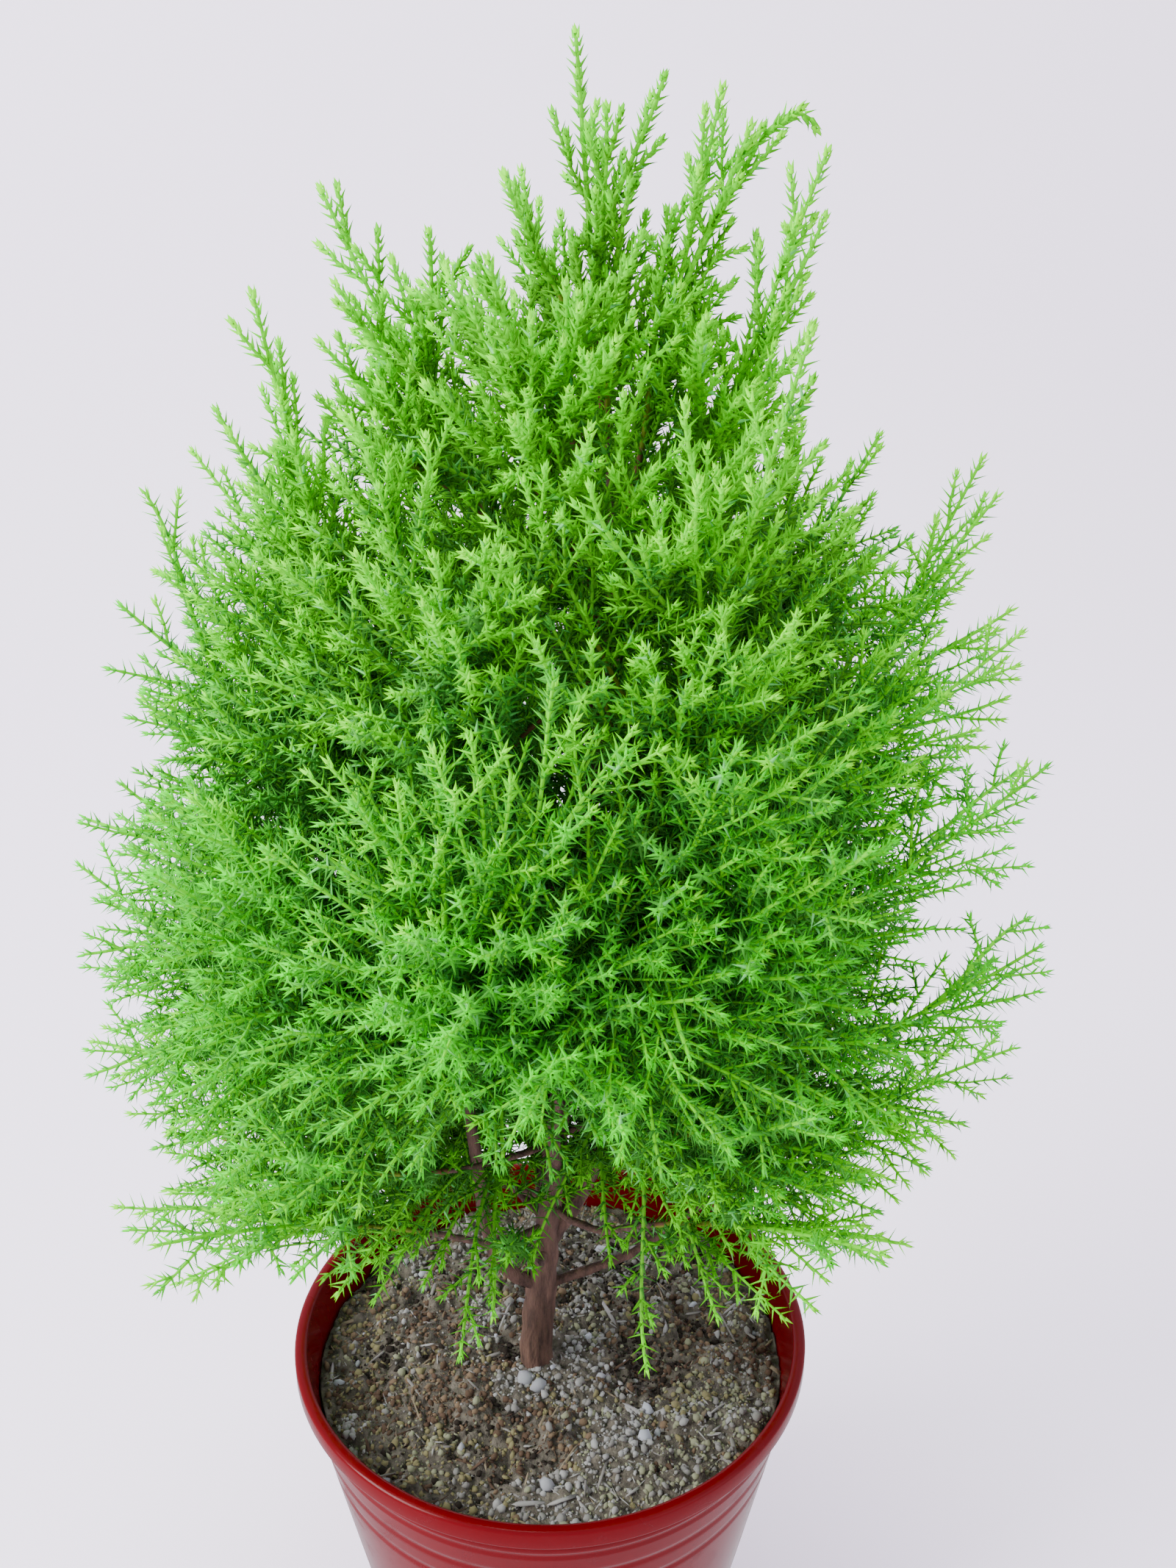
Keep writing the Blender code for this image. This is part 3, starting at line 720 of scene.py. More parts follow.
def rock_points(centres, sizes, stretch, tilts, rng):
    """Rough twelve-cornered stones: an icosahedron, its corners pushed in and out."""
    golden = (1.0 + 5.0 ** 0.5) / 2.0
    corner_distance = 1.902
    corners = np.array([[-1, golden, 0], [1, golden, 0], [-1, -golden, 0], [1, -golden, 0],
                        [0, -1, golden], [0, 1, golden], [0, -1, -golden], [0, 1, -golden],
                        [golden, 0, -1], [golden, 0, 1], [-golden, 0, -1], [-golden, 0, 1]])
    corners = corners / corner_distance
    faces = np.array([[0, 11, 5], [0, 5, 1], [0, 1, 7], [0, 7, 10], [0, 10, 11], [1, 5, 9], [5, 11, 4],
                      [11, 10, 2], [10, 7, 6], [7, 1, 8], [3, 9, 4], [3, 4, 2], [3, 2, 6], [3, 6, 8],
                      [3, 8, 9], [4, 9, 5], [2, 4, 11], [6, 2, 10], [8, 6, 7], [9, 8, 1]])
    count = len(centres)
    shape = corners[None] * rng.uniform(0.65, 1.25, (count, 12, 1)) * stretch[:, None]
    turn = rng.uniform(0, math.tau, count)
    tilt = rng.normal(0.0, tilts, (count, 2))
    first = unit(np.stack([np.cos(turn), np.sin(turn), tilt[:, 0]], axis=1))
    second = unit(np.cross(np.stack([tilt[:, 1], 0.3 * tilt[:, 0], np.ones(count)], axis=1), first))
    frame_of = np.stack([first, second, np.cross(first, second)], axis=1)
    points = centres[:, None] + sizes[:, None, None] * np.einsum("nij,njk->nik", shape, frame_of)
    all_faces = (np.arange(count) * 12)[:, None, None] + faces[None]
    return points.reshape(-1, 3), all_faces.reshape(-1, 3)


class CYPRESS_OT_soil(bpy.types.Operator):
    """Make the bed of potting mix with its crumbs, pale lumps and chips"""
    bl_idname = "cypress.soil"
    bl_label = "Make Soil"

    def execute(self, context):
        look = context.scene.cypress_soil
        rng = np.random.default_rng(23)
        level = RIM_HEIGHT - look.drop
        low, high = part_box("soil")
        edge = high[0] - 0.1 * MM
        self.make_bed(level, edge, low[2])
        rough = rng.uniform(0.6, 1.4, (look.clods, 3))
        self.scatter("soil_crumbs", CRUMBS, (0.34, 1.25), rough, 1.0, level, edge, rng)
        rough = rng.uniform(0.5, 1.3, (look.lumps, 3))
        self.scatter("pale_lumps", PALES, (0.6, 1.5), rough, 1.0, level, edge, rng, LUMPS)
        thin = rng.uniform((2.0, 0.3, 0.2), (7.0, 0.9, 0.5), (look.chips, 3))
        self.scatter("bark_chips", CHIPS, (0.4, 1.1), thin, 0.3, level, edge, rng)
        return {"FINISHED"}

    def make_bed(self, level, edge, floor):
        """The soil's body: a disc of rings with clods, closed by a side and a base."""
        turns = np.arange(BED_SIDES) * math.tau / BED_SIDES
        radii = edge * np.linspace(0.0, 1.0, BED_RINGS) ** 0.75
        x, y = radii[:, None] * np.cos(turns), radii[:, None] * np.sin(turns)
        top = np.stack([x, y, soil_height(x, y, level)], axis=-1)
        base_radius = RIM_RADIUS - 27.7 * MM
        base = np.stack([base_radius * np.cos(turns), base_radius * np.sin(turns),
                         np.full(BED_SIDES, floor)], axis=-1)
        points = np.concatenate([top, base[None], (base * UP)[None]])
        grid = np.arange(points.shape[0] * BED_SIDES).reshape(-1, BED_SIDES)
        finish = mottled("potting_mix_finish", (0.020, 0.016, 0.012), (0.17, 0.15, 0.115), scale=330.0,
                         stretch=1.0, contrast=2.6, roughness=0.95, strength=0.7, distance=0.8 * MM)
        bed = make_mesh("soil_bed", points.reshape(-1, 3), quads(grid[:-1], grid[1:], axis=1), [finish])
        close_poles(bed)
        settle(bed, "potting_mix", "soil")

    def scatter(self, name, kinds, span, stretch, tilts, level, edge, rng, placed=()):
        """Stones or chips strewn over the bed, their colours dealt by place.

        They run through their kinds from the low left to the high right, in
        patches of noise, and a few are dealt at random. The darker kinds low in
        the hollows are painted shade, and those on the left a painted shadow of
        the pot's wall. Crumbs then follow the soil's patches.
        """
        count = len(stretch)
        radius = (edge - 1.5 * MM) * np.sqrt(rng.uniform(0.004, 1.0, count))
        turn = rng.uniform(0.0, math.tau, count)
        x, y = radius * np.cos(turn), radius * np.sin(turn)
        sizes = (span[0] + (span[1] - span[0]) * rng.uniform(size=count) ** 3) * MM
        if len(placed):
            x[:len(placed)], y[:len(placed)], sizes[:len(placed)] = placed.T * MM
        centres = np.stack([x, y, soil_height(x, y, level) + 0.1 * sizes], axis=1)
        points, faces = rock_points(centres, sizes, stretch, tilts, rng)
        # Painted shade and shadow: stones low in the hollows, and those on the left in the pot wall's
        # shadow, take the darker kinds; the noise gives the soil's own patches
        patches_and_painted_shade = (noise(centres * FLATTEN, 11.0 * MM, 31) + 0.2 * x / edge
                 + 0.25 * (centres[:, 2] - level) / MM + rng.normal(0.0, 0.15, count))
        picks = np.argsort(np.argsort(patches_and_painted_shade)) * len(kinds) // count
        picks = np.where(rng.uniform(size=count) < 0.10, rng.integers(0, len(kinds), count), picks)
        if kinds is CRUMBS:
            weights = patch_weights(centres * FLATTEN)
            patch = PATCHES[weights.argmax(axis=1)]
            kind = np.where(rng.uniform(size=count) < 0.6, patch[:, 4], patch[:, 5]).astype(int)
            picks = np.where(rng.uniform(size=count) < 1.1 * weights.max(axis=1), kind, picks)
        materials = [plain(label, color, 0.95, 0.15) for label, color in kinds]
        sides = len(faces) // count
        piece = make_mesh(name, points, faces, materials, np.repeat(picks, sides), smooth=False)
        settle(piece, "potting_mix")


# Limbs

SLICES, BOUGH_SLICES = 40, 8
LIMB_STEPS, ARCH_STEPS = 28, 14
TRUNK_RINGS, TRUNK_SIDES = 300, 30
BOUGH_RINGS, BOUGH_SIDES = 60, 12


def limb_curves():
    """Every leading shoot as one curve, from the trunk through its mass to its tip.

    Returns name, curve, foot radius and the share of its length that is a bough.
    """
    trunk_line, trunk_radii = centre_line("trunk", SLICES)
    rows = []
    for node in sorted(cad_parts):
        if not node.startswith("foliage_"):
            continue
        name = node[len("foliage_"):]
        foot, tip = mass_line(node, trunk_line)
        bough = "bough_" + name
        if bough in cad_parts:
            line, radii = centre_line(bough, BOUGH_SLICES)
            line, radii = line[1:], radii[1:]
            # a low fork leaves the trunk well below the place where its own solid starts
            drop = 13.0 * MM if name.startswith("plume") else 1.5 * MM
            nearest = np.linalg.norm(trunk_line - (line[0] - drop * UP), axis=1).argmin()
            lead = np.concatenate([trunk_line[nearest][None], line])
            start, radius = line[-1], radii[0]
        else:
            nearest = np.linalg.norm(trunk_line - (foot - 4.0 * MM * UP), axis=1).argmin()
            lead = trunk_line[nearest][None]
            start, radius = lead[0], 0.55 * trunk_radii[nearest]
        heading = tip - start
        flat = math.hypot(heading[0], heading[1]) / np.linalg.norm(heading)
        sag = -0.07 * flat * np.linalg.norm(heading) * UP
        if name.startswith("skirt"):
            sag = -0.9 * sag
        path = np.concatenate([lead[:-1], sweep(start, tip, sag, ARCH_STEPS)])
        rows.append((name, resample(path, LIMB_STEPS), radius, len(lead) / len(path)))
    return trunk_line, trunk_radii, rows


def bark_relief(points, radius):
    """Stringy bark: noise drawn out along the limb, deeper on thicker wood."""
    strings = noise(points * np.array([1.0, 1.0, 0.16]), 0.9 * MM, 41)
    flakes = noise(points * np.array([1.0, 1.0, 0.35]), 2.4 * MM, 42)
    return radius[:, :, None] * (0.10 * strings + 0.10 * flakes)


class CYPRESS_OT_bark(bpy.types.Operator):
    """Make the trunk and the boughs with the relief of their bark"""
    bl_idname = "cypress.bark"
    bl_label = "Make Bark"

    def execute(self, context):
        trunk_line, trunk_radii, limbs = limb_curves()
        bark = mottled("bark_finish", (0.032, 0.015, 0.010), (0.165, 0.088, 0.060), scale=420.0,
                       stretch=0.22, contrast=2.4, roughness=0.85, strength=0.8, distance=0.6 * MM)
        self.make_trunk(trunk_line, trunk_radii, bark)
        self.make_boughs(limbs, bark)
        return {"FINISHED"}

    def make_trunk(self, line, line_radii, bark):
        """The trunk from just under the soil, with four root swellings, thin in the crown's top."""
        foot = line[0] - UP * (line[0][2] - FOOT[2] + 2.0 * MM)
        path = resample(np.concatenate([foot[None], line]), TRUNK_RINGS)
        lift = path[:, 2] - FOOT[2]
        radii = np.interp(path[:, 2], np.concatenate([[foot[2]], line[:, 2]]),
                          np.concatenate([[4.5 * MM], np.minimum(line_radii, 4.8 * MM)]))
        radii = radii * (1.0 - 0.5 * ease(lift / (120.0 * MM) - 1.4))
        turns = np.arange(TRUNK_SIDES) * math.tau / TRUNK_SIDES
        roots = 1.0 + 0.08 * np.exp(-lift / (7.0 * MM))[:, None] * np.cos(4 * turns + 0.8)[None]
        points, faces = tubes(path[None], radii[None], TRUNK_SIDES, bark_relief, roots)
        settle(make_mesh("trunk_bark", points, faces, [bark]), "bark", "trunk")

    def make_boughs(self, limbs, bark):
        """The woody part of every limb, in one piece."""
        curves = np.stack([curve for _, curve, _, _ in limbs])
        cut = np.array([max(share, 0.3) * 1.25 for *_, share in limbs])
        shares = np.linspace(0.0, 1.0, BOUGH_RINGS)[None] * np.clip(cut, 0.0, 0.8)[:, None]
        rows = np.repeat(np.arange(len(limbs)), BOUGH_RINGS)
        wood = read_curves(curves, rows, shares.ravel())[0].reshape(len(limbs), BOUGH_RINGS, 3)
        thick = np.array([radius for _, _, radius, _ in limbs])
        points, faces = tubes(wood, taper(wood, thick * 1.05, thick * 0.45), BOUGH_SIDES, bark_relief)
        boughs = make_mesh("bough_bark", points, faces, [bark])
        settle(boughs, "bark", *[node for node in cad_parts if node.startswith("bough_")])


# Foliage

# Side shoots: distances along the parent, angle and its spread in degrees, length as a share of what is
# left of the parent, bend towards the light or along the parent, and how many places each one has
RULES = {
    "lateral": dict(first=6.0 * MM, spacing=9.4 * MM, last=8.0 * MM, angle=42.0, angle_spread=5.0,
                    share=0.46, least=6.5 * MM, most=31.0 * MM, rise=0.08, follow=0.40, flat=0.6, count=3),
    "rising": dict(first=10.0 * MM, spacing=8.0 * MM, last=11.0 * MM, angle=30.0, angle_spread=6.0,
                   share=0.26, least=6.0 * MM, most=17.0 * MM, rise=0.25, follow=0.35, flat=0.8, count=3),
    "drooping": dict(first=8.0 * MM, spacing=7.0 * MM, last=9.0 * MM, angle=42.0, angle_spread=8.0,
                     share=0.20, least=4.5 * MM, most=11.0 * MM, rise=-0.15, follow=0.25, flat=0.8,
                     count=3),
    "shoot": dict(first=8.0 * MM, spacing=11.0 * MM, last=8.0 * MM, angle=42.0, angle_spread=5.0,
                  share=0.40, least=4.5 * MM, most=12.0 * MM, rise=0.05, follow=0.12, flat=0.8, count=2),
}
# Twigs of each order: radius at foot and tip in millimetres, sides, and factor of the whorls' spacing
TWIGS = {"leading": (0.80, 0.40, 5, 1.1), "hanging": (0.60, 0.36, 4, 1.0), "spray": (0.56, 0.38, 3, 1.0),
         "lateral": (0.44, 0.34, 3, 1.0), "shoot": (0.38, 0.30, 3, 1.0)}
LEAD_STEPS, SPRAY_STEPS = 18, 10
# What a spray's place on a limb costs: for each turn, for straying from the wanted way, for being too near,
# for lying further out than the tip, and by chance
TURN_COST, STRAY_COST, NEAR_COST, OUT_COST, CHANCE_COST = 45.0 * MM, 90.0 * MM, 40.0, 1.5, 14.0 * MM
# The crown's body, by height above the soil in millimetres: its radius, its middle's shift to the right,
# and the slope at which shoots run out
BODY_HEIGHTS = (56, 75, 100, 150, 190, 225, 252, 270, 290, 310, 335)
BODY_RADII = (62, 92, 104, 104, 98, 93, 82, 62, 46, 34, 14)
BODY_SHIFT = (-2, 0, 2, 0, 2, 6, 9, 8, 8, 12, 20)
BODY_SLOPE = (-0.35, -0.30, -0.12, 0.18, 0.45, 0.75, 1.1, 1.5, 2.1, 2.8, 3.5)
# How needles change with height above the soil in millimetres: factors of length, width, lean and
# spacing, how many whorls crowd into a head, and the distance in which it closes
HABIT_HEIGHTS = (100, 200, 245, 285, 320)
HABIT = {"length": (0.98, 0.97, 0.93, 0.85, 0.80), "width": (1.10, 1.08, 1.14, 1.42, 1.65),
         "lean": (1.05, 1.00, 0.93, 0.80, 0.72), "spacing": (0.90, 0.90, 0.90, 0.88, 0.84),
         "crowd": (1.0, 1.0, 1.4, 2.4, 3.0), "close": (0.0020, 0.0021, 0.0028, 0.0042, 0.0048)}
# Shoots that stand out of the crown, by their tips: millimetres from the trunk's foot
SPIRES = (
    # the left outline, downwards
    (30, 0, 347), (48, -5, 338), (18, -8, 341), (-4, 8, 328), (-19, -8, 317), (-28, 0, 311),
    (-39, -10, 307), (-43, -10, 295), (-43, -15, 284), (-51, -20, 288), (-64, -20, 282), (-87, 0, 260),
    (-95, 30, 233), (-92, 0, 215), (-115, 10, 173), (-109, -20, 150), (-106, -35, 125), (-97, -40, 87),
    # the right outline, downwards
    (61, -20, 300), (59, -10, 306), (67, 35, 274), (110, 5, 259), (118, 10, 230), (107, 20, 238),
    (119, 10, 207), (126, 10, 188), (115, 10, 155), (134, 15, 142), (126, -5, 129), (116, -10, 93),
    (92, -55, 91),
    # the front
    (55, -70, 218), (51, -73, 201), (55, -73, 187), (82, -40, 99), (8, -78, 214), (-16, -76, 226),
    (28, -72, 240), (0, -62, 262), (26, -79, 184), (-4, -79, 178), (36, -55, 275), (15, -55, 285),
    # the back, and the gaps in the outline
    (-45, 70, 232), (-15, 92, 214), (40, 90, 222), (-90, 55, 170), (95, 55, 190), (0, 104, 120),
    (60, 94, 128), (-60, 88, 126), (65, 0, 320), (-55, -15, 268), (-70, 10, 250), (84, -10, 246),
    (95, 25, 244),
    # the top
    (17, 6, 334), (23, -8, 327), (27, 5, 320), (31, -6, 315), (22, -14, 312), (35, 0, 323),
    (11, -10, 317), (-3, -5, 328), (2, 8, 317),
    # clumps in front
    (35, -78, 200), (42, -76, 190), (50, -74, 181), (38, -80, 175), (45, -74, 204), (54, -70, 192),
    (58, -70, 174), (19, -48, 262), (14, -50, 248), (23, -46, 240), (18, -52, 232), (27, -42, 254),
    # behind the top
    (5, 28, 303), (20, 38, 300), (35, 30, 306), (12, 50, 281), (30, 55, 280), (-10, 40, 285),
    (-25, 35, 276), (0, 60, 263), (25, 68, 258), (-30, 58, 250),
    # below the top in front
    (25, -30, 318), (10, -32, 309), (38, -34, 303), (-5, -34, 300), (20, -45, 300), (33, -50, 289),
    (-18, -36, 290), (-30, -38, 276), (0, -52, 286), (15, -60, 275), (-15, -62, 262), (16, -40, 266),
    (24, -38, 257), (10, -46, 258), (30, -44, 268),
)
# Shoots that hang in front of the trunk, in the same measures
DROOPERS = (
    (36, -85, 163), (-3, -80, 133), (-19, -88, 161), (7, -70, 123), (36, -60, 101), (56, -55, 87),
    (-16, -60, 60), (-8, -55, 68), (-36, -60, 78), (-46, -50, 84), (30, -60, 56), (48, -50, 63),
    (65, -50, 63), (21, -50, 81), (2, -45, 79), (-26, -45, 69),
)
# The top's nodding shoot, place by place
HOOK = ((38, 0, 312), (46, 0, 327), (51, 0, 336), (56, 0, 340), (60, 0, 340), (62, 0, 337))
# Greens from painted shade to painted light: the body's, and the yellower ones of the top, the hem and
# young shoots
BODY_GREENS = ((0.048, 0.215, 0.026), (0.068, 0.365, 0.036), (0.072, 0.520, 0.027),
               (0.064, 0.690, 0.010), (0.064, 0.860, 0.003))
YOUNG_GREENS = ((0.060, 0.270, 0.010), (0.088, 0.430, 0.010), (0.108, 0.600, 0.007),
                (0.133, 0.770, 0.004), (0.160, 0.920, 0.002))
BLOOM_COLOR = (0.12, 0.62, 0.12)
DRY_COLOR = (0.30, 0.17, 0.08)
STEMS = (("stem_brown", (0.15, 0.070, 0.035), 0.7, 0.1), ("stem_olive", (0.15, 0.20, 0.02), 0.6, 0.05),
         ("stem_green", (0.11, 0.42, 0.015), 0.5, 0.05), ("stem_lime", (0.15, 0.70, 0.005), 0.5, 0.05))
SHADES = len(BODY_GREENS)
TIP, BLOOM, DRY = range(2 * SHADES, 2 * SHADES + 3)


def front_share(bearing):
    """How far a bearing points to the front: minus its sine, and none behind."""
    return np.maximum(-np.sin(bearing), 0.0)


def body_radius(lift, bearing):
    """The body's radius at a height and a bearing, a little greater behind than in front."""
    return MM * np.interp(lift, BODY_HEIGHTS, BODY_RADII) * (1.0 + 0.08 * np.sin(bearing))


def body_at(places):
    """Lift above the soil, distance and bearing from the crown's middle, and the body's radius there."""
    lift = (places[..., 2] - FOOT[2]) / MM
    x = places[..., 0] - FOOT[0] - MM * np.interp(lift, BODY_HEIGHTS, BODY_SHIFT)
    y = places[..., 1] - FOOT[1]
    bearing = np.arctan2(y, x)
    return lift, np.hypot(x, y), bearing, body_radius(lift, bearing)


def crown_depth(places, layer):
    """How near a place is to the body's skin: 0 at the layer's depth, 1 at the skin, more outside it."""
    _, away, _, radius = body_at(places)
    return np.clip(1.0 - (radius - away) / layer, 0.0, 1.4)


def hem_height(bearing):
    """The lowest height of the crown's body: high in front, where the trunk shows, and low elsewhere."""
    return 60.0 + 80.0 * front_share(bearing) ** 1.7


def heading_at(places):
    """The way in which shoots run at a place: outwards, with the body's slope there.

    In front they part to both sides, hang below and climb above.
    """
    lift, _, bearing, _ = body_at(places)
    front = front_share(bearing)
    slope = np.interp(lift, BODY_HEIGHTS, BODY_SLOPE)
    slope = slope + front * np.interp(lift, (100.0, 150.0, 185.0), (-0.8, -0.7, 0.6))
    return unit(np.stack([np.cos(bearing) * (1.0 + front), np.sin(bearing) * (1.0 - 0.3 * front), slope],
                         axis=-1))


def from_foot(place):
    """A place given in millimetres from the trunk's foot, in metres of the frame."""
    return FOOT + MM * np.array(place, float)


def body_tips(low, high, top, cell, rng):
    """Places spread evenly through a layer of the crown's body, up to a height.

    Bearings and heights are drawn at random, a place's share of the body's
    radius lies between low and high, and smooth noise swells and dents it. One
    place is kept in each cube of the given size.
    """
    count = 9000
    lift = rng.uniform(BODY_HEIGHTS[0], top, count)
    bearing = rng.uniform(0.0, math.tau, count)
    wide = rng.uniform(size=count) * max(BODY_RADII) < np.interp(lift, BODY_HEIGHTS, BODY_RADII) + 8.0
    keep = wide & (lift > hem_height(bearing))
    lift, bearing = lift[keep], bearing[keep]
    way = np.stack([np.cos(bearing), np.sin(bearing), np.zeros(len(lift))], axis=1)
    radius = body_radius(lift, bearing) * rng.uniform(low, high, len(lift))
    shift = np.interp(lift, BODY_HEIGHTS, BODY_SHIFT)
    middle = from_foot(np.stack([shift, np.zeros(len(lift)), lift], axis=1))
    places = middle + radius[:, None] * way
    places = places + 7.0 * MM * noise(places, 36.0 * MM, 17)[:, None] * way
    cells = np.floor(places / cell).astype(np.int64) + 64
    _, first = np.unique(cells @ np.array([1, 128, 128 ** 2]), return_index=True)
    return places[first]


def reach_out(lead, tips, want, least, count, rng):
    """Cubic curves from the limbs to given tips, each leaving with the least turn.

    The place on a limb is the one with the smallest sum of distance, turn,
    stray from the wanted way and a small random draw, and it lies further in
    than the tip. The second point lies along the limb, and the third lies back
    from the tip against the way of arriving.
    """
    places = lead[:, 1:-1].reshape(-1, 3)
    limb_ways = unit(np.gradient(lead, axis=1))[:, 1:-1].reshape(-1, 3)
    gap = tips[:, None] - places[None]
    distance = np.linalg.norm(gap, axis=2)
    turn = 1.0 - (gap * limb_ways[None]).sum(axis=2) / distance
    stray = 1.0 - (gap * want[:, None]).sum(axis=2) / distance
    further_out = body_at(places)[1][None] - 0.85 * body_at(tips)[1][:, None] - 4.0 * MM
    too_near = np.maximum(least[:, None] - distance, 0.0)
    cost = (distance + TURN_COST * turn + STRAY_COST * stray + NEAR_COST * too_near
            + OUT_COST * np.maximum(further_out, 0.0) + rng.uniform(0.0, CHANCE_COST, distance.shape))
    best = cost.argmin(axis=1)
    rows = np.arange(len(tips))
    start, reach = places[best], distance[rows, best][:, None]
    ahead = unit(gap[rows, best])
    droop = np.maximum(-want[:, 2:] - 0.5, 0.0)
    leave = unit(0.5 * limb_ways[best] + 0.5 * ahead + droop * UP)
    arrive = unit(ahead + 0.8 * want + rng.normal(0.0, 0.1, tips.shape))
    second, third = start + 0.36 * reach * leave, tips - 0.36 * reach * arrive
    share = np.linspace(0.0, 1.0, count)[None, :, None]
    curves = ((1 - share) ** 3 * start[:, None] + 3 * share * (1 - share) ** 2 * second[:, None]
              + 3 * share ** 2 * (1 - share) * third[:, None] + share ** 3 * tips[:, None])
    return curves, best // (lead.shape[1] - 2)


class CYPRESS_OT_foliage(bpy.types.Operator):
    """Grow the twigs and needles of every foliage mass"""
    bl_idname = "cypress.foliage"
    bl_label = "Grow Foliage"

    def execute(self, context):
        look = context.scene.cypress_needles
        rng = np.random.default_rng(look.seed)
        trunk_line, _, limbs = limb_curves()
        greens = [plain(kind + str(shade + 1), color, 0.5, 0.02)
                  for kind, colors in (("needle_body_", BODY_GREENS), ("needle_young_", YOUNG_GREENS))
                  for shade, color in enumerate(colors)]
        greens += [plain("needle_tip", tuple(look.tip_color), 0.45, 0.02),
                   plain("needle_bloom", BLOOM_COLOR, 0.45, 0.3), plain("needle_dry", DRY_COLOR, 0.8, 0.1)]
        stems = [plain(*stem) for stem in STEMS]
        nodes = {tier: [] for tier in TIERS}
        limb_tiers = []
        for name, *_ in limbs:
            tier = "top" if name == "leader" else name.split("_")[0]
            nodes[tier].append("foliage_" + name)
            limb_tiers.append(TIERS.index(tier))
        wood, wood_tiers = self.wood(trunk_line, limbs, np.array(limb_tiers))
        axes, tiers, droops = self.leading_shoots(limbs, np.array(limb_tiers), wood, wood_tiers, rng)
        orders = self.grow(axes, tiers, droops, wood, wood_tiers, rng)
        for number, tier in enumerate(TIERS):
            part = [(curves[of == number], *rest) for curves, of, *rest in orders]
            self.make_twigs(tier, part, stems)
            self.make_needles(tier, part, look, rng, greens, nodes[tier])
        return {"FINISHED"}

    def wood(self, trunk_line, limbs, limb_tiers):
        """The limbs and four lengths of the trunk, from which sprays may leave, with their tiers."""
        lead = np.stack([resample(curve, LEAD_STEPS) for _, curve, _, _ in limbs])
        names = ("lower", "middle", "upper", "top")
        upper = trunk_line[trunk_line[:, 2] > FOOT[2] + 45.0 * MM]
        trunk = resample(upper, len(names) * LEAD_STEPS).reshape(len(names), LEAD_STEPS, 3)
        trunk_tiers = [TIERS.index(name) for name in names]
        return np.concatenate([lead, trunk]), np.concatenate([limb_tiers, trunk_tiers])

    def leading_shoots(self, limbs, limb_tiers, wood, wood_tiers, rng):
        """The masses' own shoots and the named ones, with each one's tier and whether it droops."""
        bare = np.array([max(share, 0.06) for *_, share in limbs])
        shares = bare[:, None] + (1.0 - bare[:, None]) * np.linspace(0.0, 1.0, LEAD_STEPS)
        own = np.stack([curve for _, curve, _, _ in limbs])
        rows = np.repeat(np.arange(len(own)), LEAD_STEPS)
        own = read_curves(own, rows, shares.ravel())[0].reshape(-1, LEAD_STEPS, 3)
        spires, droopers = from_foot(SPIRES), from_foot(DROOPERS)
        least = np.full(len(spires), 42.0 * MM)
        rising, on_wood = reach_out(wood, spires, heading_at(spires), least, LEAD_STEPS, rng)
        down = unit(heading_at(droopers) * np.array([0.6, 0.6, 0.0]) - UP)
        least = np.full(len(droopers), 38.0 * MM)
        hanging, over = reach_out(wood, droopers, down, least, LEAD_STEPS, rng)
        hook = resample(from_foot(HOOK), LEAD_STEPS)[None]
        axes = np.concatenate([own, rising, hanging, hook])
        tiers = np.concatenate([limb_tiers, wood_tiers[on_wood], wood_tiers[over], [TIERS.index("top")]])
        lift, _, bearing, _ = body_at(axes[:, -1])
        return axes, tiers, lift < hem_height(bearing) - 12.0

    def grow(self, axes, tiers, droops, wood, wood_tiers, rng):
        """Sprays out to the crown's body, then two orders of side shoots.

        Returns each order's curves, their tiers and its row of TWIGS.
        """
        outer = body_tips(0.84, 1.02, 312.0, 18.2 * MM, rng)
        inner = body_tips(0.25, 0.70, 285.0, 24.0 * MM, rng)
        least = np.concatenate([np.clip(0.62 * body_at(outer)[3], 34.0 * MM, 58.0 * MM),
                                np.clip(0.40 * body_at(inner)[3], 26.0 * MM, 38.0 * MM)])
        tips = np.concatenate([outer, inner])
        parents = np.concatenate([wood, axes[~droops]])
        parent_tiers = np.concatenate([wood_tiers, tiers[~droops]])
        sprays, on_wood = reach_out(parents, tips, heading_at(tips), least, SPRAY_STEPS, rng)
        spray_tiers = parent_tiers[on_wood]
        high = body_at(axes[:, -1])[0] > 250.0
        laterals, lateral_tiers = [], []
        low = ~high & ~droops
        for curves, of, rule in (
                (axes[high], tiers[high], "rising"), (axes[low], tiers[low], "lateral"),
                (axes[droops], tiers[droops], "drooping"), (sprays, spray_tiers, "lateral")):
            grown, rows = branch(curves, RULES[rule], rng)
            laterals.append(grown)
            lateral_tiers.append(of[rows])
        laterals, lateral_tiers = np.concatenate(laterals), np.concatenate(lateral_tiers)
        shoots, rows = branch(laterals, RULES["shoot"], rng)
        orders = (("leading", axes[~droops], tiers[~droops]), ("hanging", axes[droops], tiers[droops]),
                  ("spray", sprays, spray_tiers), ("lateral", laterals, lateral_tiers),
                  ("shoot", shoots, lateral_tiers[rows]))
        return [(curves, of, *TWIGS[order]) for order, curves, of in orders]

    def make_twigs(self, tier, orders, stems):
        """All the twigs of a tier in one piece, brown inside and green outside."""
        points, faces, picks, start = [], [], [], 0
        for curves, first, last, sides, _ in orders:
            ring, walls = tubes(curves, taper(curves, first * MM, last * MM), sides)
            depth = crown_depth(ring[walls[:, 0]], 55.0 * MM)
            pick = np.searchsorted((0.22, 0.42, 0.66), depth)
            points.append(ring)
            faces.append(walls + start)
            picks.append(pick if first > 0.7 else np.clip(pick, 2, 3))
            start += len(ring)
        piece = make_mesh("twigs_" + tier, np.concatenate(points), np.concatenate(faces), stems,
                          np.concatenate(picks))
        settle(piece, "green_foliage")

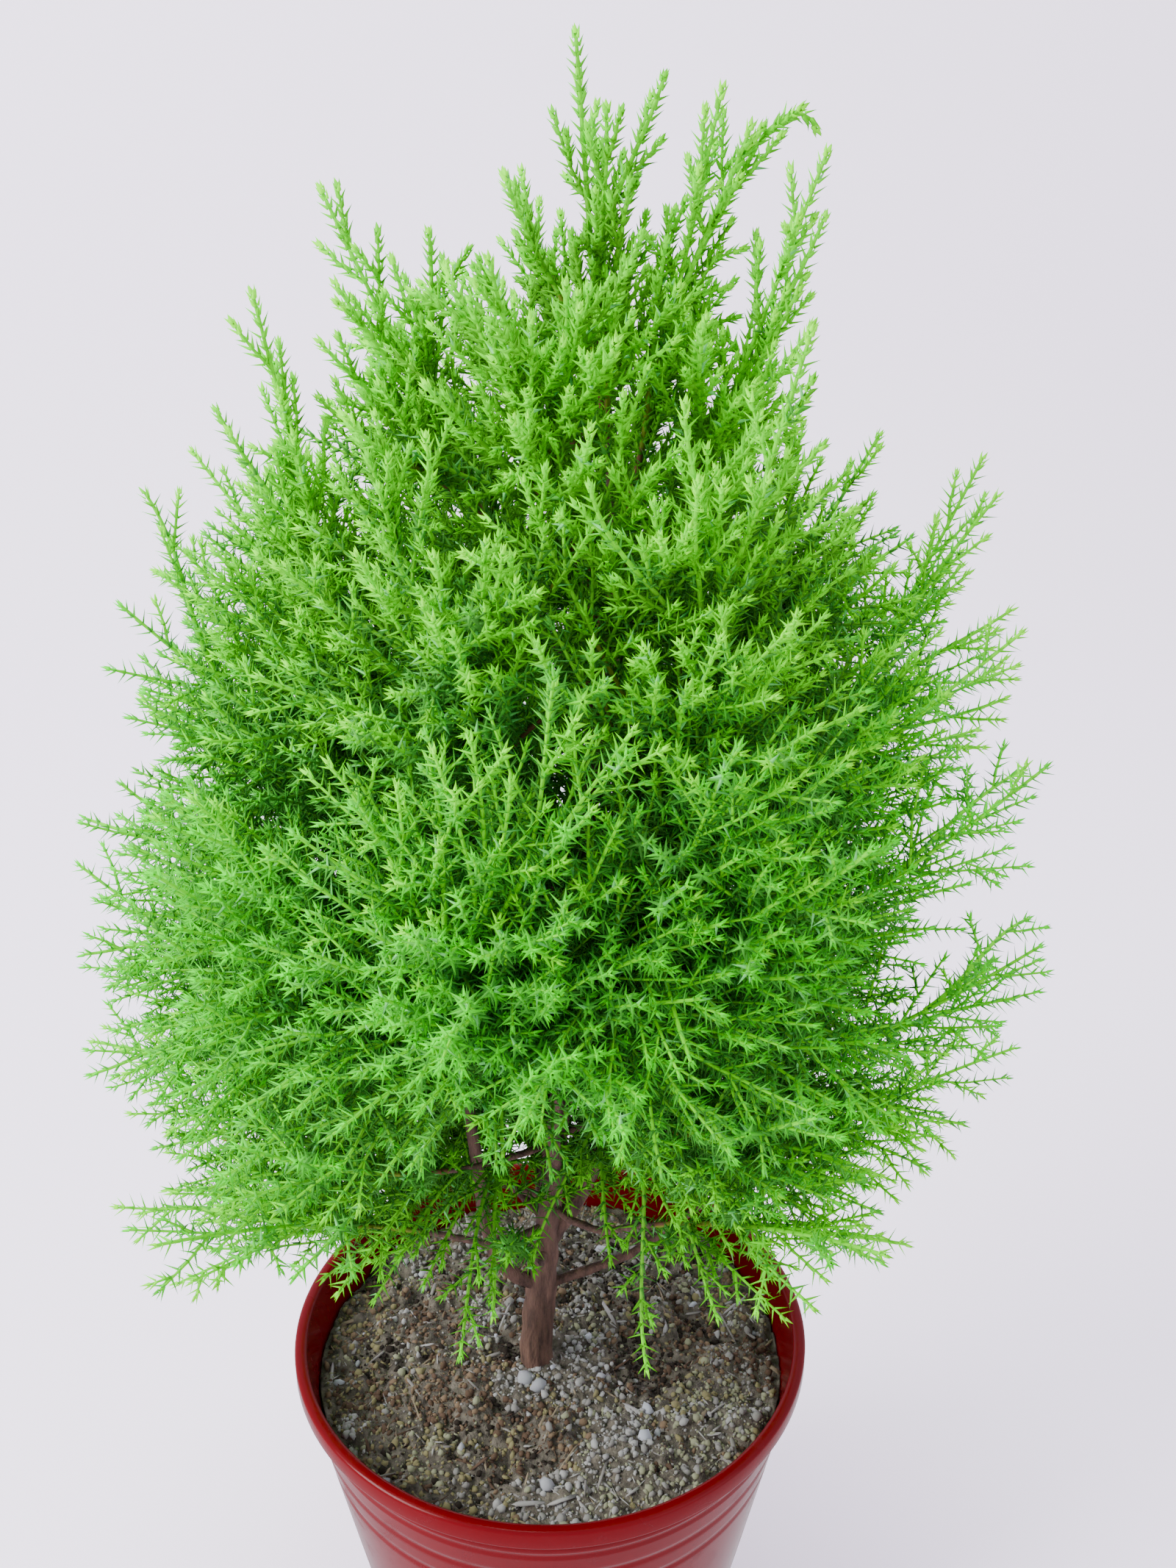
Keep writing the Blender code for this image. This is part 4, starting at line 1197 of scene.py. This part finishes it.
    def make_needles(self, tier, orders, look, rng, greens, nodes):
        """All the needles of a tier, in as many pieces as the size limit asks."""
        corners, faces, picks, start = [], [], [], 0
        for curves, first, last, _, gap in orders:
            lift = body_at(curves[:, -1])[0]
            shape = {label: np.interp(lift, HABIT_HEIGHTS, values) for label, values in HABIT.items()}
            shape["length"] *= look.length
            shape["width"] *= look.width
            shape["lean"] *= look.lean
            shape["spacing"] *= look.spacing * gap
            twig = np.full(len(curves), 0.5 * (first + last) * MM)
            points, triangles, rows, to_tip = needle_points(curves, twig, shape, rng)
            corners.append(points)
            faces.append(triangles + start)
            picks.append(self.deal_greens(points[3::4], len(curves), rows, to_tip, rng).ravel())
            start += len(points)
        corners, faces, picks = np.concatenate(corners), np.concatenate(faces), np.concatenate(picks)
        parts = int(np.ceil(len(faces) / PIECE_LIMIT))
        step = int(np.ceil(len(faces) / 3 / parts)) * 3
        for k in range(parts):
            some = faces[k * step:(k + 1) * step]
            low, high = some.min(), some.max() + 1
            name = "needles_" + tier + ("_" + "abcdef"[k] if parts > 1 else "")
            piece = make_mesh(name, corners[low:high], some - low, greens, picks[k * step:(k + 1) * step],
                              smooth=False)
            settle(piece, "green_foliage", *(nodes if k == 0 else ()))

    def deal_greens(self, ends, shoots, rows, to_tip, rng):
        """A material for each of a needle's three faces.

        The tone rises towards the crown's skin and the shoot's tip, and differs
        from shoot to shoot: the lighter greens at the skin are painted light and
        the darker ones deep in the crown painted shade. One keel face is a green
        darker, a painted shade on the needle's underside. Needles far from the
        crown's middle height, on light shoots or near a tip take the yellower
        greens. A few have a pale bloom on one face, and a few shoots are dry.
        """
        spray = rng.normal(0.0, 0.13, shoots)[rows]
        # Painted shade and light: the green darkens with depth below the crown's skin and lightens towards
        # it
        tone = 0.10 + 0.40 * crown_depth(ends, 34.0 * MM) + spray + rng.normal(0.0, 0.05, len(rows))
        tone = tone + 0.30 * (1.0 - np.clip(to_tip / (5.0 * MM), 0.0, 1.0))
        level = np.clip((tone * 4.8).astype(int), 0, SHADES - 1)
        from_middle = (np.abs(body_at(ends)[0] - 165.0) - 30.0) / 110.0
        young = from_middle + 1.5 * spray + 0.25 * (to_tip < 6.0 * MM) > 0.5
        # Painted shade: one keel face of each needle takes the next darker green, as if shaded on its
        # underside
        pick = np.stack([level, np.maximum(level - 1, 0), level], axis=1) + SHADES * young[:, None]
        pick[(to_tip < 3.0 * MM) & (tone > 0.8) & young] = TIP
        pick[(level < SHADES - 1) & (rng.uniform(size=len(rows)) < 0.05), 0] = BLOOM
        pick[(rng.uniform(size=shoots) < 0.001)[rows]] = DRY
        return pick


# Stage

class CYPRESS_OT_stage(bpy.types.Operator):
    """Make the pale floor and wall, the soft lights and the camera"""
    bl_idname = "cypress.stage"
    bl_label = "Make Stage"

    def execute(self, context):
        look = context.scene.cypress_stage
        self.make_backdrop()
        self.make_lights()
        data = bpy.data.cameras.new("view_camera")
        data.lens = look.lens
        data.sensor_width = 36.0
        data.clip_start = 0.01
        camera = bpy.data.objects.new("view_camera", data)
        camera.location = look.camera_place
        camera.rotation_euler = (math.radians(90.0 - look.camera_dip), math.radians(look.camera_roll), 0.0)
        bpy.context.scene.collection.objects.link(camera)
        bpy.context.scene.camera = camera
        world = bpy.data.worlds.new("soft_room")
        bpy.context.scene.world = world
        world.use_nodes = True
        world.node_tree.nodes["Background"].inputs["Color"].default_value = (0.92, 0.89, 1.0, 1.0)
        world.node_tree.nodes["Background"].inputs["Strength"].default_value = 1.15
        return {"FINISHED"}

    def make_backdrop(self):
        """A floor that turns up into a wall on a quarter circle, with a weak glow that keeps it pale."""
        front, wall, bend, height, half_width = -5.0, 1.2, 0.3, 4.0, 6.0
        turn = np.linspace(0.0, math.pi / 2, 16)
        y = np.concatenate([[front], wall - bend + bend * np.sin(turn), [wall]])
        z = np.concatenate([[0.0], bend - bend * np.cos(turn), [height]])
        x = np.array([-half_width, half_width])
        points = np.stack([np.repeat(x[None], len(y), axis=0), np.repeat(y[:, None], 2, axis=1),
                           np.repeat(z[:, None], 2, axis=1)], axis=-1)
        grid = np.arange(len(y) * 2).reshape(-1, 2)
        faces = np.stack([grid[:-1, 0], grid[:-1, 1], grid[1:, 1], grid[1:, 0]], axis=-1)
        material, shader = base_material("pale_backdrop", (0.93, 0.87, 0.985), 0.9)
        shader.inputs["Emission Color"].default_value = (0.95, 0.88, 1.0, 1.0)
        shader.inputs["Emission Strength"].default_value = 0.22
        backdrop = make_mesh("backdrop", points.reshape(-1, 3), faces, [material])
        backdrop.visible_glossy = False

    def make_lights(self):
        """A large window to the front left, a top light and a weak fill, all aimed at the crown."""
        for name, place, size, power, color in (
                ("window", (-1.6, -0.7, 1.35), 1.1, 76.0, (1.0, 0.99, 0.98)),
                ("sky", (-0.2, 0.2, 2.2), 1.2, 42.0, (0.97, 0.98, 1.0)),
                ("fill", (1.5, -1.0, 0.8), 1.2, 4.0, (0.95, 0.97, 1.0))):
            data = bpy.data.lights.new(name, "AREA")
            data.size = size
            data.energy = power
            data.color = color
            light = bpy.data.objects.new(name, data)
            light.location = place
            aim = Vector((0.0, 0.0, 0.26)) - Vector(place)
            light.rotation_euler = aim.to_track_quat("-Z", "Y").to_euler()
            bpy.context.scene.collection.objects.link(light)


class CYPRESS_PT_panel(bpy.types.Panel):
    """Lists the steps that finish the potted cypress"""
    bl_idname = "CYPRESS_PT_panel"
    bl_label = "Potted Cypress"
    bl_space_type = "VIEW_3D"
    bl_region_type = "UI"
    bl_category = "Cypress"

    def draw(self, context):
        for step in STEPS:
            self.layout.operator(step.bl_idname)
        for name, kind in SETTINGS.items():
            for label in kind.__annotations__:
                self.layout.prop(getattr(context.scene, name), label)


STEPS = (CYPRESS_OT_pot, CYPRESS_OT_soil, CYPRESS_OT_bark, CYPRESS_OT_foliage, CYPRESS_OT_stage)
SETTINGS = {"cypress_needles": CypressNeedles, "cypress_pot": CypressPot, "cypress_soil": CypressSoil,
            "cypress_stage": CypressStage}


def register():
    for group in (*SETTINGS.values(), *STEPS, CYPRESS_PT_panel):
        bpy.utils.register_class(group)
    for label, group in SETTINGS.items():
        setattr(bpy.types.Scene, label, bpy.props.PointerProperty(type=group))


def unregister():
    for label in SETTINGS:
        delattr(bpy.types.Scene, label)
    for group in (CYPRESS_PT_panel, *STEPS, *SETTINGS.values()):
        bpy.utils.unregister_class(group)


def main():
    register()
    bpy.ops.cypress.pot()
    bpy.ops.cypress.soil()
    bpy.ops.cypress.bark()
    bpy.ops.cypress.foliage()
    bpy.ops.cypress.stage()


if __name__ == "__main__":
    main()
